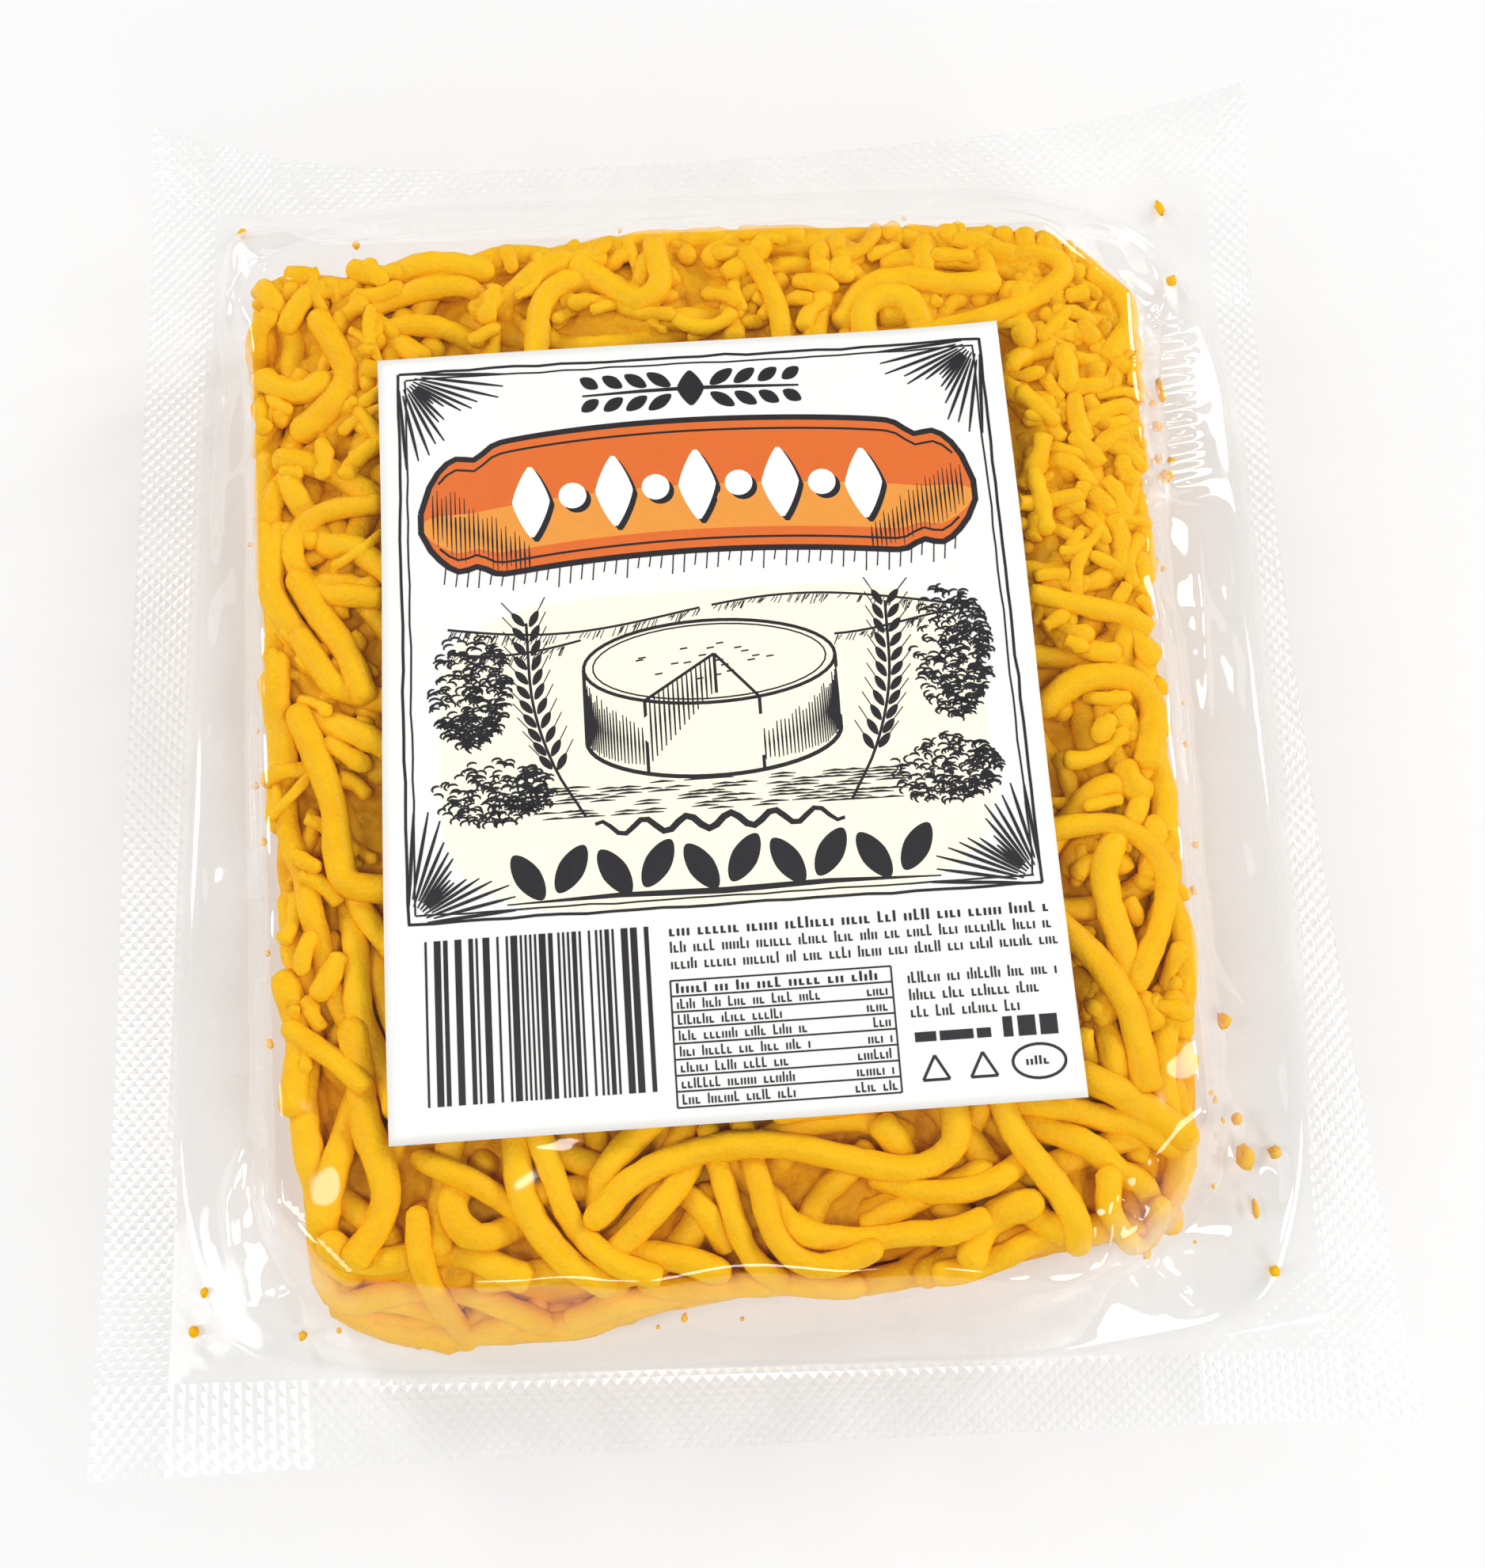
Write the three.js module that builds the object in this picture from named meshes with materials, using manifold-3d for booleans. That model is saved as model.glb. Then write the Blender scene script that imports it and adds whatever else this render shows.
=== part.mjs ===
// A bag of shredded cheddar, lying on its flat side: a clear formed pocket sealed to a flat sheet
// all round, packed full of soft, noodle-like shreds, with a paper label stuck on its top face.
// Millimetres, +Z up, +Y towards the back seal, origin in the middle of the base.
import * as THREE from "three";
import { mergeVertices } from "three/addons/utils/BufferGeometryUtils.js";
import Module from "manifold-3d";

// ---- driving dimensions ----
const BAG_WIDTH = 152;
const BAG_DEPTH = 176;
const SEAL_THICKNESS = 0.6; // the two films welded together
const POCKET_HEIGHT = 15; // from the seal up to the pocket's shoulder
const CROWN = 1; // how much the filling swells the middle of the top face

const SEAL_WIDTH = { left: 8.5, right: 7.8, front: 9, back: 12.5 };
const WALL_RUN = { left: 12.1, right: 15.6, front: 9.9, back: 15 }; // how far each wall slopes in
const CORNER_LIFT = { frontLeft: 1, frontRight: 1, backLeft: 3, backRight: 5 }; // curl of the seal
const CURL_REACH = 30; // how far from a corner the curl begins

const LABEL_WIDTH = 78;
const LABEL_DEPTH = 97;
const LABEL_THICKNESS = 0.4;
const LABEL_GAP = 0.3;
const LABEL_CENTRE = { x: -2, y: -3.9 };
const LABEL_TURN = THREE.MathUtils.degToRad(1.42);
const LABEL_CORNER_LIFT = 1; // its back right corner has come unstuck
const LABEL_LIFT_REACH = 16;

const SHRED_RADIUS = 1.6;
const SHRED_SIDES = 6;
const SHRED_STEP = 4.6; // between the sections of a shred
const SHRED_COUNT = 42;
const SHRED_LENGTHS = [24, 64];
const SHRED_BEND = 1.9; // the most that a shred turns from end to end, in radians
const SHRED_RELIEF = 1.4; // depth of the gaps between the shreds, round the label
const SHRED_SUNK = [0, 0.6]; // how far the shreds lie under the film
const SHRED_LOWEST_WALL = 0.42; // share of the wall's run that the shreds reach down
const SHRED_TRIES = 60;
const SHRED_SEED = 20;

const HALF_WIDTH = BAG_WIDTH / 2;
const HALF_DEPTH = BAG_DEPTH / 2;

// ---- outlines: each side is a line or a shallow curve ----

// The back seal is cut in a long hollow curve, lowest a little left of the middle.
const BACK_HOLLOW = 7;
const BACK_LOWEST_X = -14;

const sealEdge = {
  left: (y) => -HALF_WIDTH + 0.6 * Math.exp(-(((y + 45) / 25) ** 2)),
  right: (y) => HALF_WIDTH - 2.8 * (1 - (y / HALF_DEPTH) ** 2),
  front: (x) => -HALF_DEPTH + 0.6 * (1 - (x / HALF_WIDTH) ** 2),
  back: (x) => {
    const onLeft = x < BACK_LOWEST_X;
    const reach = onLeft ? HALF_WIDTH + BACK_LOWEST_X : HALF_WIDTH - BACK_LOWEST_X;
    const share = Math.min(Math.abs(x - BACK_LOWEST_X) / reach, 1);
    return HALF_DEPTH - BACK_HOLLOW * (1 - share ** (onLeft ? 2.7 : 1.6));
  },
};

// Where the pocket's walls meet the seal. The pocket sits a little askew in its seal.
const wallFoot = {
  left: () => -HALF_WIDTH + SEAL_WIDTH.left,
  right: (y) => HALF_WIDTH - SEAL_WIDTH.right + 0.02 * y,
  front: (x) => -HALF_DEPTH + SEAL_WIDTH.front - 0.016 * x,
  back: () => HALF_DEPTH - SEAL_WIDTH.back,
};

// Where the walls meet the top face.
const shoulder = {
  left: (y) => wallFoot.left() + WALL_RUN.left - 0.056 * y,
  right: (y) => HALF_WIDTH - SEAL_WIDTH.right - WALL_RUN.right + 0.02 * y,
  front: (x) => -HALF_DEPTH + SEAL_WIDTH.front + WALL_RUN.front - 0.025 * x,
  back: () => wallFoot.back() - WALL_RUN.back,
};

// The corners of the pocket are drawn in: each starts at a point of the top face and slopes off
// along a direction. The front right one is pulled into a wide tent.
const drawnCorners = [
  { x: 40, y: -62, along: [0.6, -0.8], run: 24 },
  { x: 49, y: 55, along: [0.7, 0.7], run: 18 },
  { x: -54, y: 56, along: [-0.7, 0.7], run: 18 },
  { x: -48, y: -63, along: [-0.7, -0.7], run: 18 },
];

// ---- the form of the bag ----

const CORNER_ROUNDING = 2.5; // exponent that rounds the pocket where two walls meet
const SHOULDER_SOFTNESS = 0.12;
const WALL_HOLLOW = 0.25;

// 0 on the top face, 1 where a wall meets the seal, more beyond it.
function wallFraction(x, y) {
  const across = Math.max(
    (shoulder.left(y) - x) / (shoulder.left(y) - wallFoot.left(y)),
    (x - shoulder.right(y)) / (wallFoot.right(y) - shoulder.right(y)),
    0,
  );
  const along = Math.max(
    (shoulder.front(x) - y) / (shoulder.front(x) - wallFoot.front(x)),
    (y - shoulder.back(x)) / (wallFoot.back(x) - shoulder.back(x)),
    0,
  );
  const drawn = drawnCorners.map((corner) =>
    Math.max(((x - corner.x) * corner.along[0] + (y - corner.y) * corner.along[1]) / corner.run, 0),
  );
  const parts = [across, along, ...drawn];
  return parts.reduce((sum, part) => sum + part ** CORNER_ROUNDING, 0) ** (1 / CORNER_ROUNDING);
}

// The smaller of two values, with the change from one to the other rounded off.
function softMin(a, b, softness) {
  const blend = Math.max(softness - Math.abs(a - b), 0) / softness;
  return Math.min(a, b) - (blend * blend * softness) / 4;
}

// Height of the pocket's film over the seal.
function pocketHeight(x, y) {
  const climb = Math.max(softMin(1 - wallFraction(x, y), 1, SHOULDER_SOFTNESS), 0);
  const hollowed = climb - WALL_HOLLOW * climb * (1 - climb);
  const middle = (1 - (x / 60) ** 2) * (1 - (y / 68) ** 2);
  const wave = 0.25 * Math.sin(x / 9 + 1) * Math.sin(y / 11 + 2);
  return POCKET_HEIGHT * hollowed + climb * (CROWN * Math.max(middle, 0) + wave);
}

// How far the sealed corners curl up off the surface that the bag lies on.
function sealCurl(x, y) {
  const corners = [
    [-1, -1, CORNER_LIFT.frontLeft],
    [1, -1, CORNER_LIFT.frontRight],
    [-1, 1, CORNER_LIFT.backLeft],
    [1, 1, CORNER_LIFT.backRight],
  ];
  const outside = THREE.MathUtils.smoothstep(wallFraction(x, y), 1, 1.5);
  return corners.reduce((lift, [sideX, sideY, height]) => {
    const away = Math.hypot(x - sideX * HALF_WIDTH, y - sideY * HALF_DEPTH) / CURL_REACH;
    return lift + outside * height * Math.max(1 - away, 0) ** 2;
  }, 0);
}

const underside = (x, y) => sealCurl(x, y);
const filmHeight = (x, y) => sealCurl(x, y) + SEAL_THICKNESS + pocketHeight(x, y);

// The core of the filling: under the film by the depth of the gaps between the shreds, except
// below the label, which it carries.
function coreHeight(x, y) {
  const roundLabel = THREE.MathUtils.smoothstep(-underLabel(x, y), -3, 5);
  const full = THREE.MathUtils.smoothstep(pocketHeight(x, y), 2, POCKET_HEIGHT);
  return filmHeight(x, y) - SHRED_RELIEF * roundLabel * full;
}

// ---- a closed sheet: a grid of points with a top and an underside ----

// corner(i, j) gives each grid point's top and bottom vector.
function closedSheet(columns, rows, corner) {
  const positions = [];
  const index = [];
  const row = columns + 1;
  const layer = row * (rows + 1);
  for (const side of ["top", "bottom"]) {
    for (let j = 0; j <= rows; j++) {
      for (let i = 0; i <= columns; i++) {
        positions.push(...corner(i, j)[side].toArray());
      }
    }
  }
  for (let j = 0; j < rows; j++) {
    for (let i = 0; i < columns; i++) {
      const a = j * row + i;
      const [b, c, d] = [a + 1, a + row + 1, a + row];
      index.push(a, b, c, a, c, d);
      index.push(layer + a, layer + c, layer + b, layer + a, layer + d, layer + c);
    }
  }
  const rim = [];
  for (let i = 0; i < columns; i++) rim.push(i);
  for (let j = 0; j < rows; j++) rim.push(j * row + columns);
  for (let i = columns; i > 0; i--) rim.push(rows * row + i);
  for (let j = rows; j > 0; j--) rim.push(j * row);
  rim.forEach((a, k) => {
    const b = rim[(k + 1) % rim.length];
    index.push(a, layer + a, layer + b, a, layer + b, b);
  });
  const sheet = new THREE.BufferGeometry();
  sheet.setAttribute("position", new THREE.Float32BufferAttribute(positions, 3));
  sheet.setIndex(index);
  return sheet;
}

// ---- the bag's sheet: grid lines follow the seal, the walls and the top face ----

const SEAL_CELLS = 2;
const WALL_CELLS = 4;
const TOP_CELLS_ACROSS = 12;
const TOP_CELLS_ALONG = 14;

// A station's place between the lines it falls between, as a function of the other coordinate.
function stations(lines, cells) {
  const found = [lines[0]];
  cells.forEach((count, band) => {
    for (let k = 1; k <= count; k++) {
      const share = k / count;
      found.push((v) => THREE.MathUtils.lerp(lines[band](v), lines[band + 1](v), share));
    }
  });
  return found;
}

const columnLines = [sealEdge.left, wallFoot.left, shoulder.left]
  .concat([shoulder.right, wallFoot.right, sealEdge.right]);
const rowLines = [sealEdge.front, wallFoot.front, shoulder.front]
  .concat([shoulder.back, wallFoot.back, sealEdge.back]);
const columnStations = stations(columnLines, [SEAL_CELLS, WALL_CELLS, TOP_CELLS_ACROSS, WALL_CELLS, SEAL_CELLS]);
const rowStations = stations(rowLines, [SEAL_CELLS, WALL_CELLS, TOP_CELLS_ALONG, WALL_CELLS, SEAL_CELLS]);

function bagCorner(i, j) {
  let x = 0;
  let y = 0;
  // The lines are almost square to each other, so a few rounds settle their crossing.
  for (let round = 0; round < 6; round++) {
    x = columnStations[i](y);
    y = rowStations[j](x);
  }
  return {
    top: new THREE.Vector3(x, y, coreHeight(x, y)),
    bottom: new THREE.Vector3(x, y, underside(x, y)),
  };
}

// ---- the label ----

// From the label's own axes, along its width and depth, to the bag's.
function labelToBag(across, along) {
  return {
    x: LABEL_CENTRE.x + across * Math.cos(LABEL_TURN) - along * Math.sin(LABEL_TURN),
    y: LABEL_CENTRE.y + across * Math.sin(LABEL_TURN) + along * Math.cos(LABEL_TURN),
  };
}

// How deep a point lies inside the label's outline, negative outside it.
function underLabel(x, y) {
  const [dx, dy] = [x - LABEL_CENTRE.x, y - LABEL_CENTRE.y];
  const across = dx * Math.cos(LABEL_TURN) + dy * Math.sin(LABEL_TURN);
  const along = dy * Math.cos(LABEL_TURN) - dx * Math.sin(LABEL_TURN);
  return Math.min(LABEL_WIDTH / 2 - Math.abs(across), LABEL_DEPTH / 2 - Math.abs(along));
}

function labelSheet() {
  const [columns, rows] = [12, 14];
  return closedSheet(columns, rows, (i, j) => {
    const across = (i / columns - 0.5) * LABEL_WIDTH;
    const along = (j / rows - 0.5) * LABEL_DEPTH;
    const { x, y } = labelToBag(across, along);
    const fromCorner = Math.hypot(LABEL_WIDTH / 2 - across, LABEL_DEPTH / 2 - along);
    const peel = LABEL_CORNER_LIFT * Math.max(1 - fromCorner / LABEL_LIFT_REACH, 0) ** 2;
    const z = filmHeight(x, y) + LABEL_GAP + peel;
    return {
      top: new THREE.Vector3(x, y, z + LABEL_THICKNESS),
      bottom: new THREE.Vector3(x, y, z),
    };
  });
}

// ---- the shreds that press up against the top face ----

// A seeded generator of even random numbers from 0 to 1.
function seededDraw(seed) {
  let state = seed >>> 0;
  return () => {
    state = (state + 0x6d2b79f5) >>> 0;
    let mixed = Math.imul(state ^ (state >>> 15), state | 1);
    mixed ^= mixed + Math.imul(mixed ^ (mixed >>> 7), mixed | 61);
    return ((mixed ^ (mixed >>> 14)) >>> 0) / 4294967296;
  };
}

const within = (draw, [low, high]) => low + (high - low) * draw();

// A curved path in plan, from a drawn start, heading, length and bend.
function drawnPath(draw) {
  const length = within(draw, SHRED_LENGTHS);
  const steps = Math.round(length / SHRED_STEP);
  let heading = within(draw, [0, Math.PI]);
  const turn = within(draw, [-SHRED_BEND, SHRED_BEND]) / steps;
  let x = within(draw, [shoulder.left(0) - 4, shoulder.right(0) + 4]);
  let y = within(draw, [shoulder.front(0) - 3, shoulder.back(0) + 5]);
  const path = [];
  for (let k = 0; k <= steps; k++) {
    path.push(new THREE.Vector2(x, y));
    x += SHRED_STEP * Math.cos(heading);
    y += SHRED_STEP * Math.sin(heading);
    heading += turn;
  }
  return path;
}

// A path is usable where it keeps to the top face and mostly clear of the label.
function usable(path) {
  const onTop = path.every((p) => wallFraction(p.x, p.y) < SHRED_LOWEST_WALL);
  const shown = path.filter((p) => underLabel(p.x, p.y) < 0).length;
  return onTop && shown > path.length * 0.7;
}

// The distance from a path to the nearest one that is already laid.
function room(path, laid) {
  const apart = laid.flatMap((other) =>
    path.map((p) => Math.min(...other.map((q) => p.distanceTo(q)))),
  );
  return apart.length ? apart.reduce((sum, d) => sum + Math.min(d, 12), 0) / apart.length : 0;
}

// Shreds are laid one by one, each where it has the most room among a few drawn tries.
function shredPaths() {
  const draw = seededDraw(SHRED_SEED);
  const laid = [];
  while (laid.length < SHRED_COUNT) {
    const tries = [];
    for (let k = 0; k < SHRED_TRIES; k++) {
      const path = drawnPath(draw);
      if (usable(path)) tries.push(path);
    }
    tries.sort((a, b) => room(b, laid) - room(a, laid));
    if (tries.length) laid.push(tries[0]);
  }
  return laid.map((path) => ({ path, sunk: within(draw, SHRED_SUNK) }));
}

// One shred: a round bar along its path, just under the film, and lower where the label covers it.
function shredBar({ path, sunk }) {
  const points = path.map((p) => {
    const covered = THREE.MathUtils.smoothstep(underLabel(p.x, p.y), -3, 1);
    const depth = Math.max(sunk, 2 * LABEL_GAP * covered);
    return new THREE.Vector3(p.x, p.y, filmHeight(p.x, p.y) - depth - SHRED_RADIUS);
  });
  const section = new THREE.Shape(
    Array.from({ length: SHRED_SIDES }, (_, k) => {
      const angle = (k / SHRED_SIDES) * 2 * Math.PI;
      return new THREE.Vector2(SHRED_RADIUS * Math.cos(angle), SHRED_RADIUS * Math.sin(angle));
    }),
  );
  return new THREE.ExtrudeGeometry(section, {
    extrudePath: new THREE.CatmullRomCurve3(points),
    steps: path.length - 1,
    bevelEnabled: false,
  });
}

// ---- joining ----

const wasm = await Module();
wasm.setup();

function solidFrom(geometry) {
  const bare = geometry.clone();
  bare.deleteAttribute("normal");
  bare.deleteAttribute("uv");
  const merged = mergeVertices(bare, 1e-4);
  return new wasm.Manifold(
    new wasm.Mesh({
      numProp: 3,
      vertProperties: new Float32Array(merged.attributes.position.array),
      triVerts: new Uint32Array(merged.index.array),
    }),
  );
}

function geometryFrom(solid) {
  const mesh = solid.getMesh();
  const geometry = new THREE.BufferGeometry();
  geometry.setAttribute("position", new THREE.BufferAttribute(mesh.vertProperties, 3));
  geometry.setIndex(new THREE.BufferAttribute(mesh.triVerts, 1));
  geometry.computeVertexNormals();
  return geometry;
}

// The bag with its shreds fused on. Any hollow that fusing seals off is left filled.
function filledBag() {
  const columns = columnStations.length - 1;
  const rows = rowStations.length - 1;
  let whole = solidFrom(closedSheet(columns, rows, bagCorner));
  for (const shred of shredPaths()) {
    whole = whole.add(solidFrom(shredBar(shred)));
  }
  return whole.decompose().reduce((a, b) => (a.volume() > b.volume() ? a : b));
}

// ---- the part ----

const cheese = new THREE.MeshStandardMaterial({ color: 0xe6a400, roughness: 0.35, metalness: 0 });
const paper = new THREE.MeshStandardMaterial({ color: 0xf7f6ee, roughness: 0.75, metalness: 0 });

const part = new THREE.Group();

const bag = new THREE.Mesh(geometryFrom(filledBag()), cheese);
bag.name = "bag";
part.add(bag);

const labelGeometry = labelSheet();
labelGeometry.computeVertexNormals();
const label = new THREE.Mesh(labelGeometry, paper);
label.name = "label";
part.add(label);

export default part;
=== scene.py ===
"""A clear bag of shredded cheddar, lying flat: film, filling, crumbs, label and its print."""

import math

import bpy
import numpy as np
from bpy.props import (
    FloatProperty,
    FloatVectorProperty,
    IntProperty,
    PointerProperty,
)
from mathutils import Matrix, Vector, kdtree


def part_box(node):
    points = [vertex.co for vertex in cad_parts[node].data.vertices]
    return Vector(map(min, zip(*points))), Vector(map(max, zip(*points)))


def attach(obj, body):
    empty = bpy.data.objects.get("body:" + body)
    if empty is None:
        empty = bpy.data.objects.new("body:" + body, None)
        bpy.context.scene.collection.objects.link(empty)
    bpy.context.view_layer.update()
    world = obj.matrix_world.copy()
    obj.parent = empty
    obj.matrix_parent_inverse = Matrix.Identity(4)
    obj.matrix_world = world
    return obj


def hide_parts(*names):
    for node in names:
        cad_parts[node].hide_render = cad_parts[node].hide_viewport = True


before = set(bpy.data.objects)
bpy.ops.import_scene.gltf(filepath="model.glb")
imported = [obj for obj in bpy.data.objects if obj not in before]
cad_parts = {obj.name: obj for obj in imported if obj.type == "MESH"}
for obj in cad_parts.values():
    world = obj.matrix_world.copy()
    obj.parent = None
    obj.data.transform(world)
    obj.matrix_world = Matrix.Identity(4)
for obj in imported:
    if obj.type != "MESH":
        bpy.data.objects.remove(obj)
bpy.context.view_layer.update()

bl_info = {
    "name": "Bag of Shredded Cheddar",
    "version": (1, 0, 0),
    "blender": (4, 5, 0),
    "location": "3D View > Sidebar > Cheddar Bag",
    "description": "Builds a clear sealed bag of shredded cheddar with its paper label",
    "category": "Add Mesh",
}

MM = 0.001

# ---- the bag's form, in millimetres, as its solid has it ----

BAG_LOW, BAG_HIGH = (np.array(corner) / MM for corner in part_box("bag"))
LABEL_LOW, LABEL_HIGH = (np.array(corner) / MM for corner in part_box("label"))

HALF_WIDTH = (BAG_HIGH[0] - BAG_LOW[0]) / 2
HALF_DEPTH = (BAG_HIGH[1] - BAG_LOW[1]) / 2
SEAL_TOP = 0.36  # the welded films lie nearly flat on the floor
WELD = 0.16  # thickness of the two films welded together
POCKET_HEIGHT = 15.2
CROWN = 1.0  # how much higher the middle of the top face stands
SEAL_WIDTH = {"left": 8.5, "right": 7.8, "front": 9.0, "back": 12.5}
WALL_RUN = {"left": 12.1, "right": 15.6, "front": 9.9, "back": 15.0}

# How the seal curls up at its corners: the side of the bag across and along, and the height.
CORNER_LIFT = ((-1, -1, 1.0), (1, -1, 1.0), (-1, 1, 3.0), (1, 1, 5.0))
CURL_REACH = 30.0

# A wall's climb is 0 at its foot and 1 at its shoulder. Its foot eases into the seal, and the side
# walls are flanged: steep beside the filling, then a gentle slope down to the seal.
FOOT_ROUNDING = 0.045
WALL_HOLLOW = 0.25
WALL_STEEPNESS = 2.2
LEFT_FLANGE = 0.5
RIGHT_FLANGE = 0.62
CORNER_ROUNDING = 2.5

# Where the film is tented off the filling: middle, reach, the part of the wall's climb that drops
# steeply, and how the film falls above that drop and below it.
TENTS = (
    (-59, 59, 11, 0.12, 0.36, 0.34, 0.30),
    (49, -74, 13, 0.60, 0.82, 0.30, 0.38),
)
BACK_HOLLOW = 7.0  # how far the back edge curves in
BACK_LOWEST_X = -14.0

# The corners of the pocket are drawn in: point of the top face, direction of the slope, its run.
DRAWN_CORNERS = (
    (40, -62, 0.6, -0.8, 24),
    (49, 55, 0.7, 0.7, 18),
    (-54, 56, -0.7, 0.7, 18),
    (-48, -63, -0.7, -0.7, 18),
)


def edge_left(y):
    return -HALF_WIDTH + 0.6 * np.exp(-(((y + 45) / 25) ** 2))


def edge_right(y):
    return HALF_WIDTH - 2.8 * (1 - (y / HALF_DEPTH) ** 2)


def edge_front(x):
    return -HALF_DEPTH + 0.6 * (1 - (x / HALF_WIDTH) ** 2)


def edge_back(x):
    """The back edge is a long hollow curve, lowest a little left of the middle."""
    on_left = x < BACK_LOWEST_X
    reach = np.where(on_left, HALF_WIDTH + BACK_LOWEST_X, HALF_WIDTH - BACK_LOWEST_X)
    share = np.clip(np.abs(x - BACK_LOWEST_X) / reach, 0, 1)
    return HALF_DEPTH - BACK_HOLLOW * (1 - share ** np.where(on_left, 2.7, 1.6))


def foot_left(y):
    return -HALF_WIDTH + SEAL_WIDTH["left"] + 0 * y


def foot_right(y):
    return HALF_WIDTH - SEAL_WIDTH["right"] + 0.02 * y


def foot_front(x):
    return -HALF_DEPTH + SEAL_WIDTH["front"] - 0.016 * x


def foot_back(x):
    return HALF_DEPTH - SEAL_WIDTH["back"] + 0 * x


def shoulder_left(y):
    return foot_left(y) + WALL_RUN["left"] - 0.056 * y


def shoulder_right(y):
    return HALF_WIDTH - SEAL_WIDTH["right"] - WALL_RUN["right"] + 0.02 * y


def shoulder_front(x):
    sway = 0.5 * np.sin(x / 7 + 1) + 0.35 * np.sin(x / 3.3 + 2)
    return -HALF_DEPTH + SEAL_WIDTH["front"] + WALL_RUN["front"] - 0.025 * x + sway


def shoulder_back(x):
    return foot_back(x) - WALL_RUN["back"]


# ---- small numeric helpers ----


def smoothstep(value, low, high):
    t = np.clip((value - low) / (high - low), 0, 1)
    return t * t * (3 - 2 * t)


def soft_min(a, b, softness):
    blend = np.maximum(softness - np.abs(a - b), 0) / softness
    return np.minimum(a, b) - blend * blend * softness / 4


def unit(vectors):
    return vectors / np.maximum(np.linalg.norm(vectors, axis=-1, keepdims=True), 1e-12)


def smooth_noise(x, y, cell, seed):
    """Even noise from -1 to 1 over the plane, with features about one cell wide."""
    size = 64
    table = np.random.default_rng(seed).uniform(-1, 1, (size, size))
    u, v = np.asarray(x) / cell, np.asarray(y) / cell
    i, j = np.floor(u).astype(int), np.floor(v).astype(int)
    s, t = u - i, v - j
    s, t = s * s * (3 - 2 * s), t * t * (3 - 2 * t)

    def knot(a, b):
        return table[(i + a) % size, (j + b) % size]

    low = knot(0, 0) * (1 - s) + knot(1, 0) * s
    high = knot(0, 1) * (1 - s) + knot(1, 1) * s
    return low * (1 - t) + high * t


def smooth_path(points, step):
    """A smooth curve through points, resampled at an even step."""
    knots = np.array(points, float)
    padded = np.vstack([2 * knots[0] - knots[1], knots, 2 * knots[-1] - knots[-2]])
    share = np.linspace(0, 1, 12, endpoint=False)[:, None]
    stretches = []
    for a, b, c, d in zip(padded, padded[1:], padded[2:], padded[3:]):
        stretches.append(
            0.5 * (2 * b + (c - a) * share + (2 * a - 5 * b + 4 * c - d) * share**2
                   + (3 * b - a - 3 * c + d) * share**3)
        )
    dense = np.vstack(stretches + [knots[-1:]])
    along = np.r_[0, np.cumsum(np.linalg.norm(np.diff(dense, axis=0), axis=1))]
    count = max(int(round(along[-1] / step)), 3)
    even = np.linspace(0, along[-1], count + 1)
    return np.column_stack([np.interp(even, along, dense[:, k]) for k in range(dense.shape[1])])


# ---- the film's surface ----


def wall_fraction(x, y):
    """0 on the top face, 1 where a wall meets the seal, more beyond it."""
    across = np.maximum(
        (shoulder_left(y) - x) / (shoulder_left(y) - foot_left(y)),
        (x - shoulder_right(y)) / (foot_right(y) - shoulder_right(y)),
    )
    along = np.maximum(
        (shoulder_front(x) - y) / (shoulder_front(x) - foot_front(x)),
        (y - shoulder_back(x)) / (foot_back(x) - shoulder_back(x)),
    )
    total = np.maximum(across, 0) ** CORNER_ROUNDING + np.maximum(along, 0) ** CORNER_ROUNDING
    for cx, cy, dx, dy, run in DRAWN_CORNERS:
        beyond = np.maximum(((x - cx) * dx + (y - cy) * dy) / run, 0)
        total = total + beyond**CORNER_ROUNDING
    return total ** (1 / CORNER_ROUNDING)


def seal_curl(x, y):
    """How far the seal lifts off the floor at its corners."""
    outside = smoothstep(wall_fraction(x, y), 1, 1.5)
    lift = 0
    for side_x, side_y, height in CORNER_LIFT:
        away = np.hypot(x - side_x * HALF_WIDTH, y - side_y * HALF_DEPTH) / CURL_REACH
        lift = lift + outside * height * np.maximum(1 - away, 0) ** 2
    return lift


def pocket_height(x, y):
    """Height of the pocket's film over the seal, before its creases."""
    fraction = wall_fraction(x, y)
    at_front = smoothstep(-y, 60, 68)
    climb = np.maximum(soft_min(1 - fraction, 1, 0.16 - 0.1 * at_front), 0)
    climb = (np.sqrt(climb**2 + FOOT_ROUNDING**2) - FOOT_ROUNDING) / (1 - FOOT_ROUNDING)
    hollowed = climb - WALL_HOLLOW * climb * (1 - climb)
    gathered = smoothstep(y, 22, 30) * smoothstep(-y, -60, -54)
    at_front_left = smoothstep(-y, 42, 52)
    flange = np.where(x < 0, LEFT_FLANGE - 0.1 * at_front_left, RIGHT_FLANGE - 0.22 * gathered)
    flanged = -soft_min(-flange * climb, WALL_STEEPNESS * (1 - climb) - 1, 0.14)
    at_side = smoothstep(np.abs(x), 42, 54)
    shape = hollowed * (1 - at_side) + flanged * at_side
    for tent_x, tent_y, reach, low, high, fall, shelf in TENTS:
        at_tent = np.exp(-(np.hypot(x - tent_x, y - tent_y) / reach) ** 4)
        over = smoothstep(climb, low, high)
        tented = (1 - fall * (1 - climb)) * over + shelf * climb * (1 - over)
        shape = shape * (1 - at_tent) + tented * at_tent
    middle = np.maximum((1 - (x / 60) ** 2) * (1 - (y / 68) ** 2), 0)
    wave = 0.25 * np.sin(x / 9 + 1) * np.sin(y / 11 + 2)
    return POCKET_HEIGHT * shape + climb * (CROWN * middle + wave)


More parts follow.
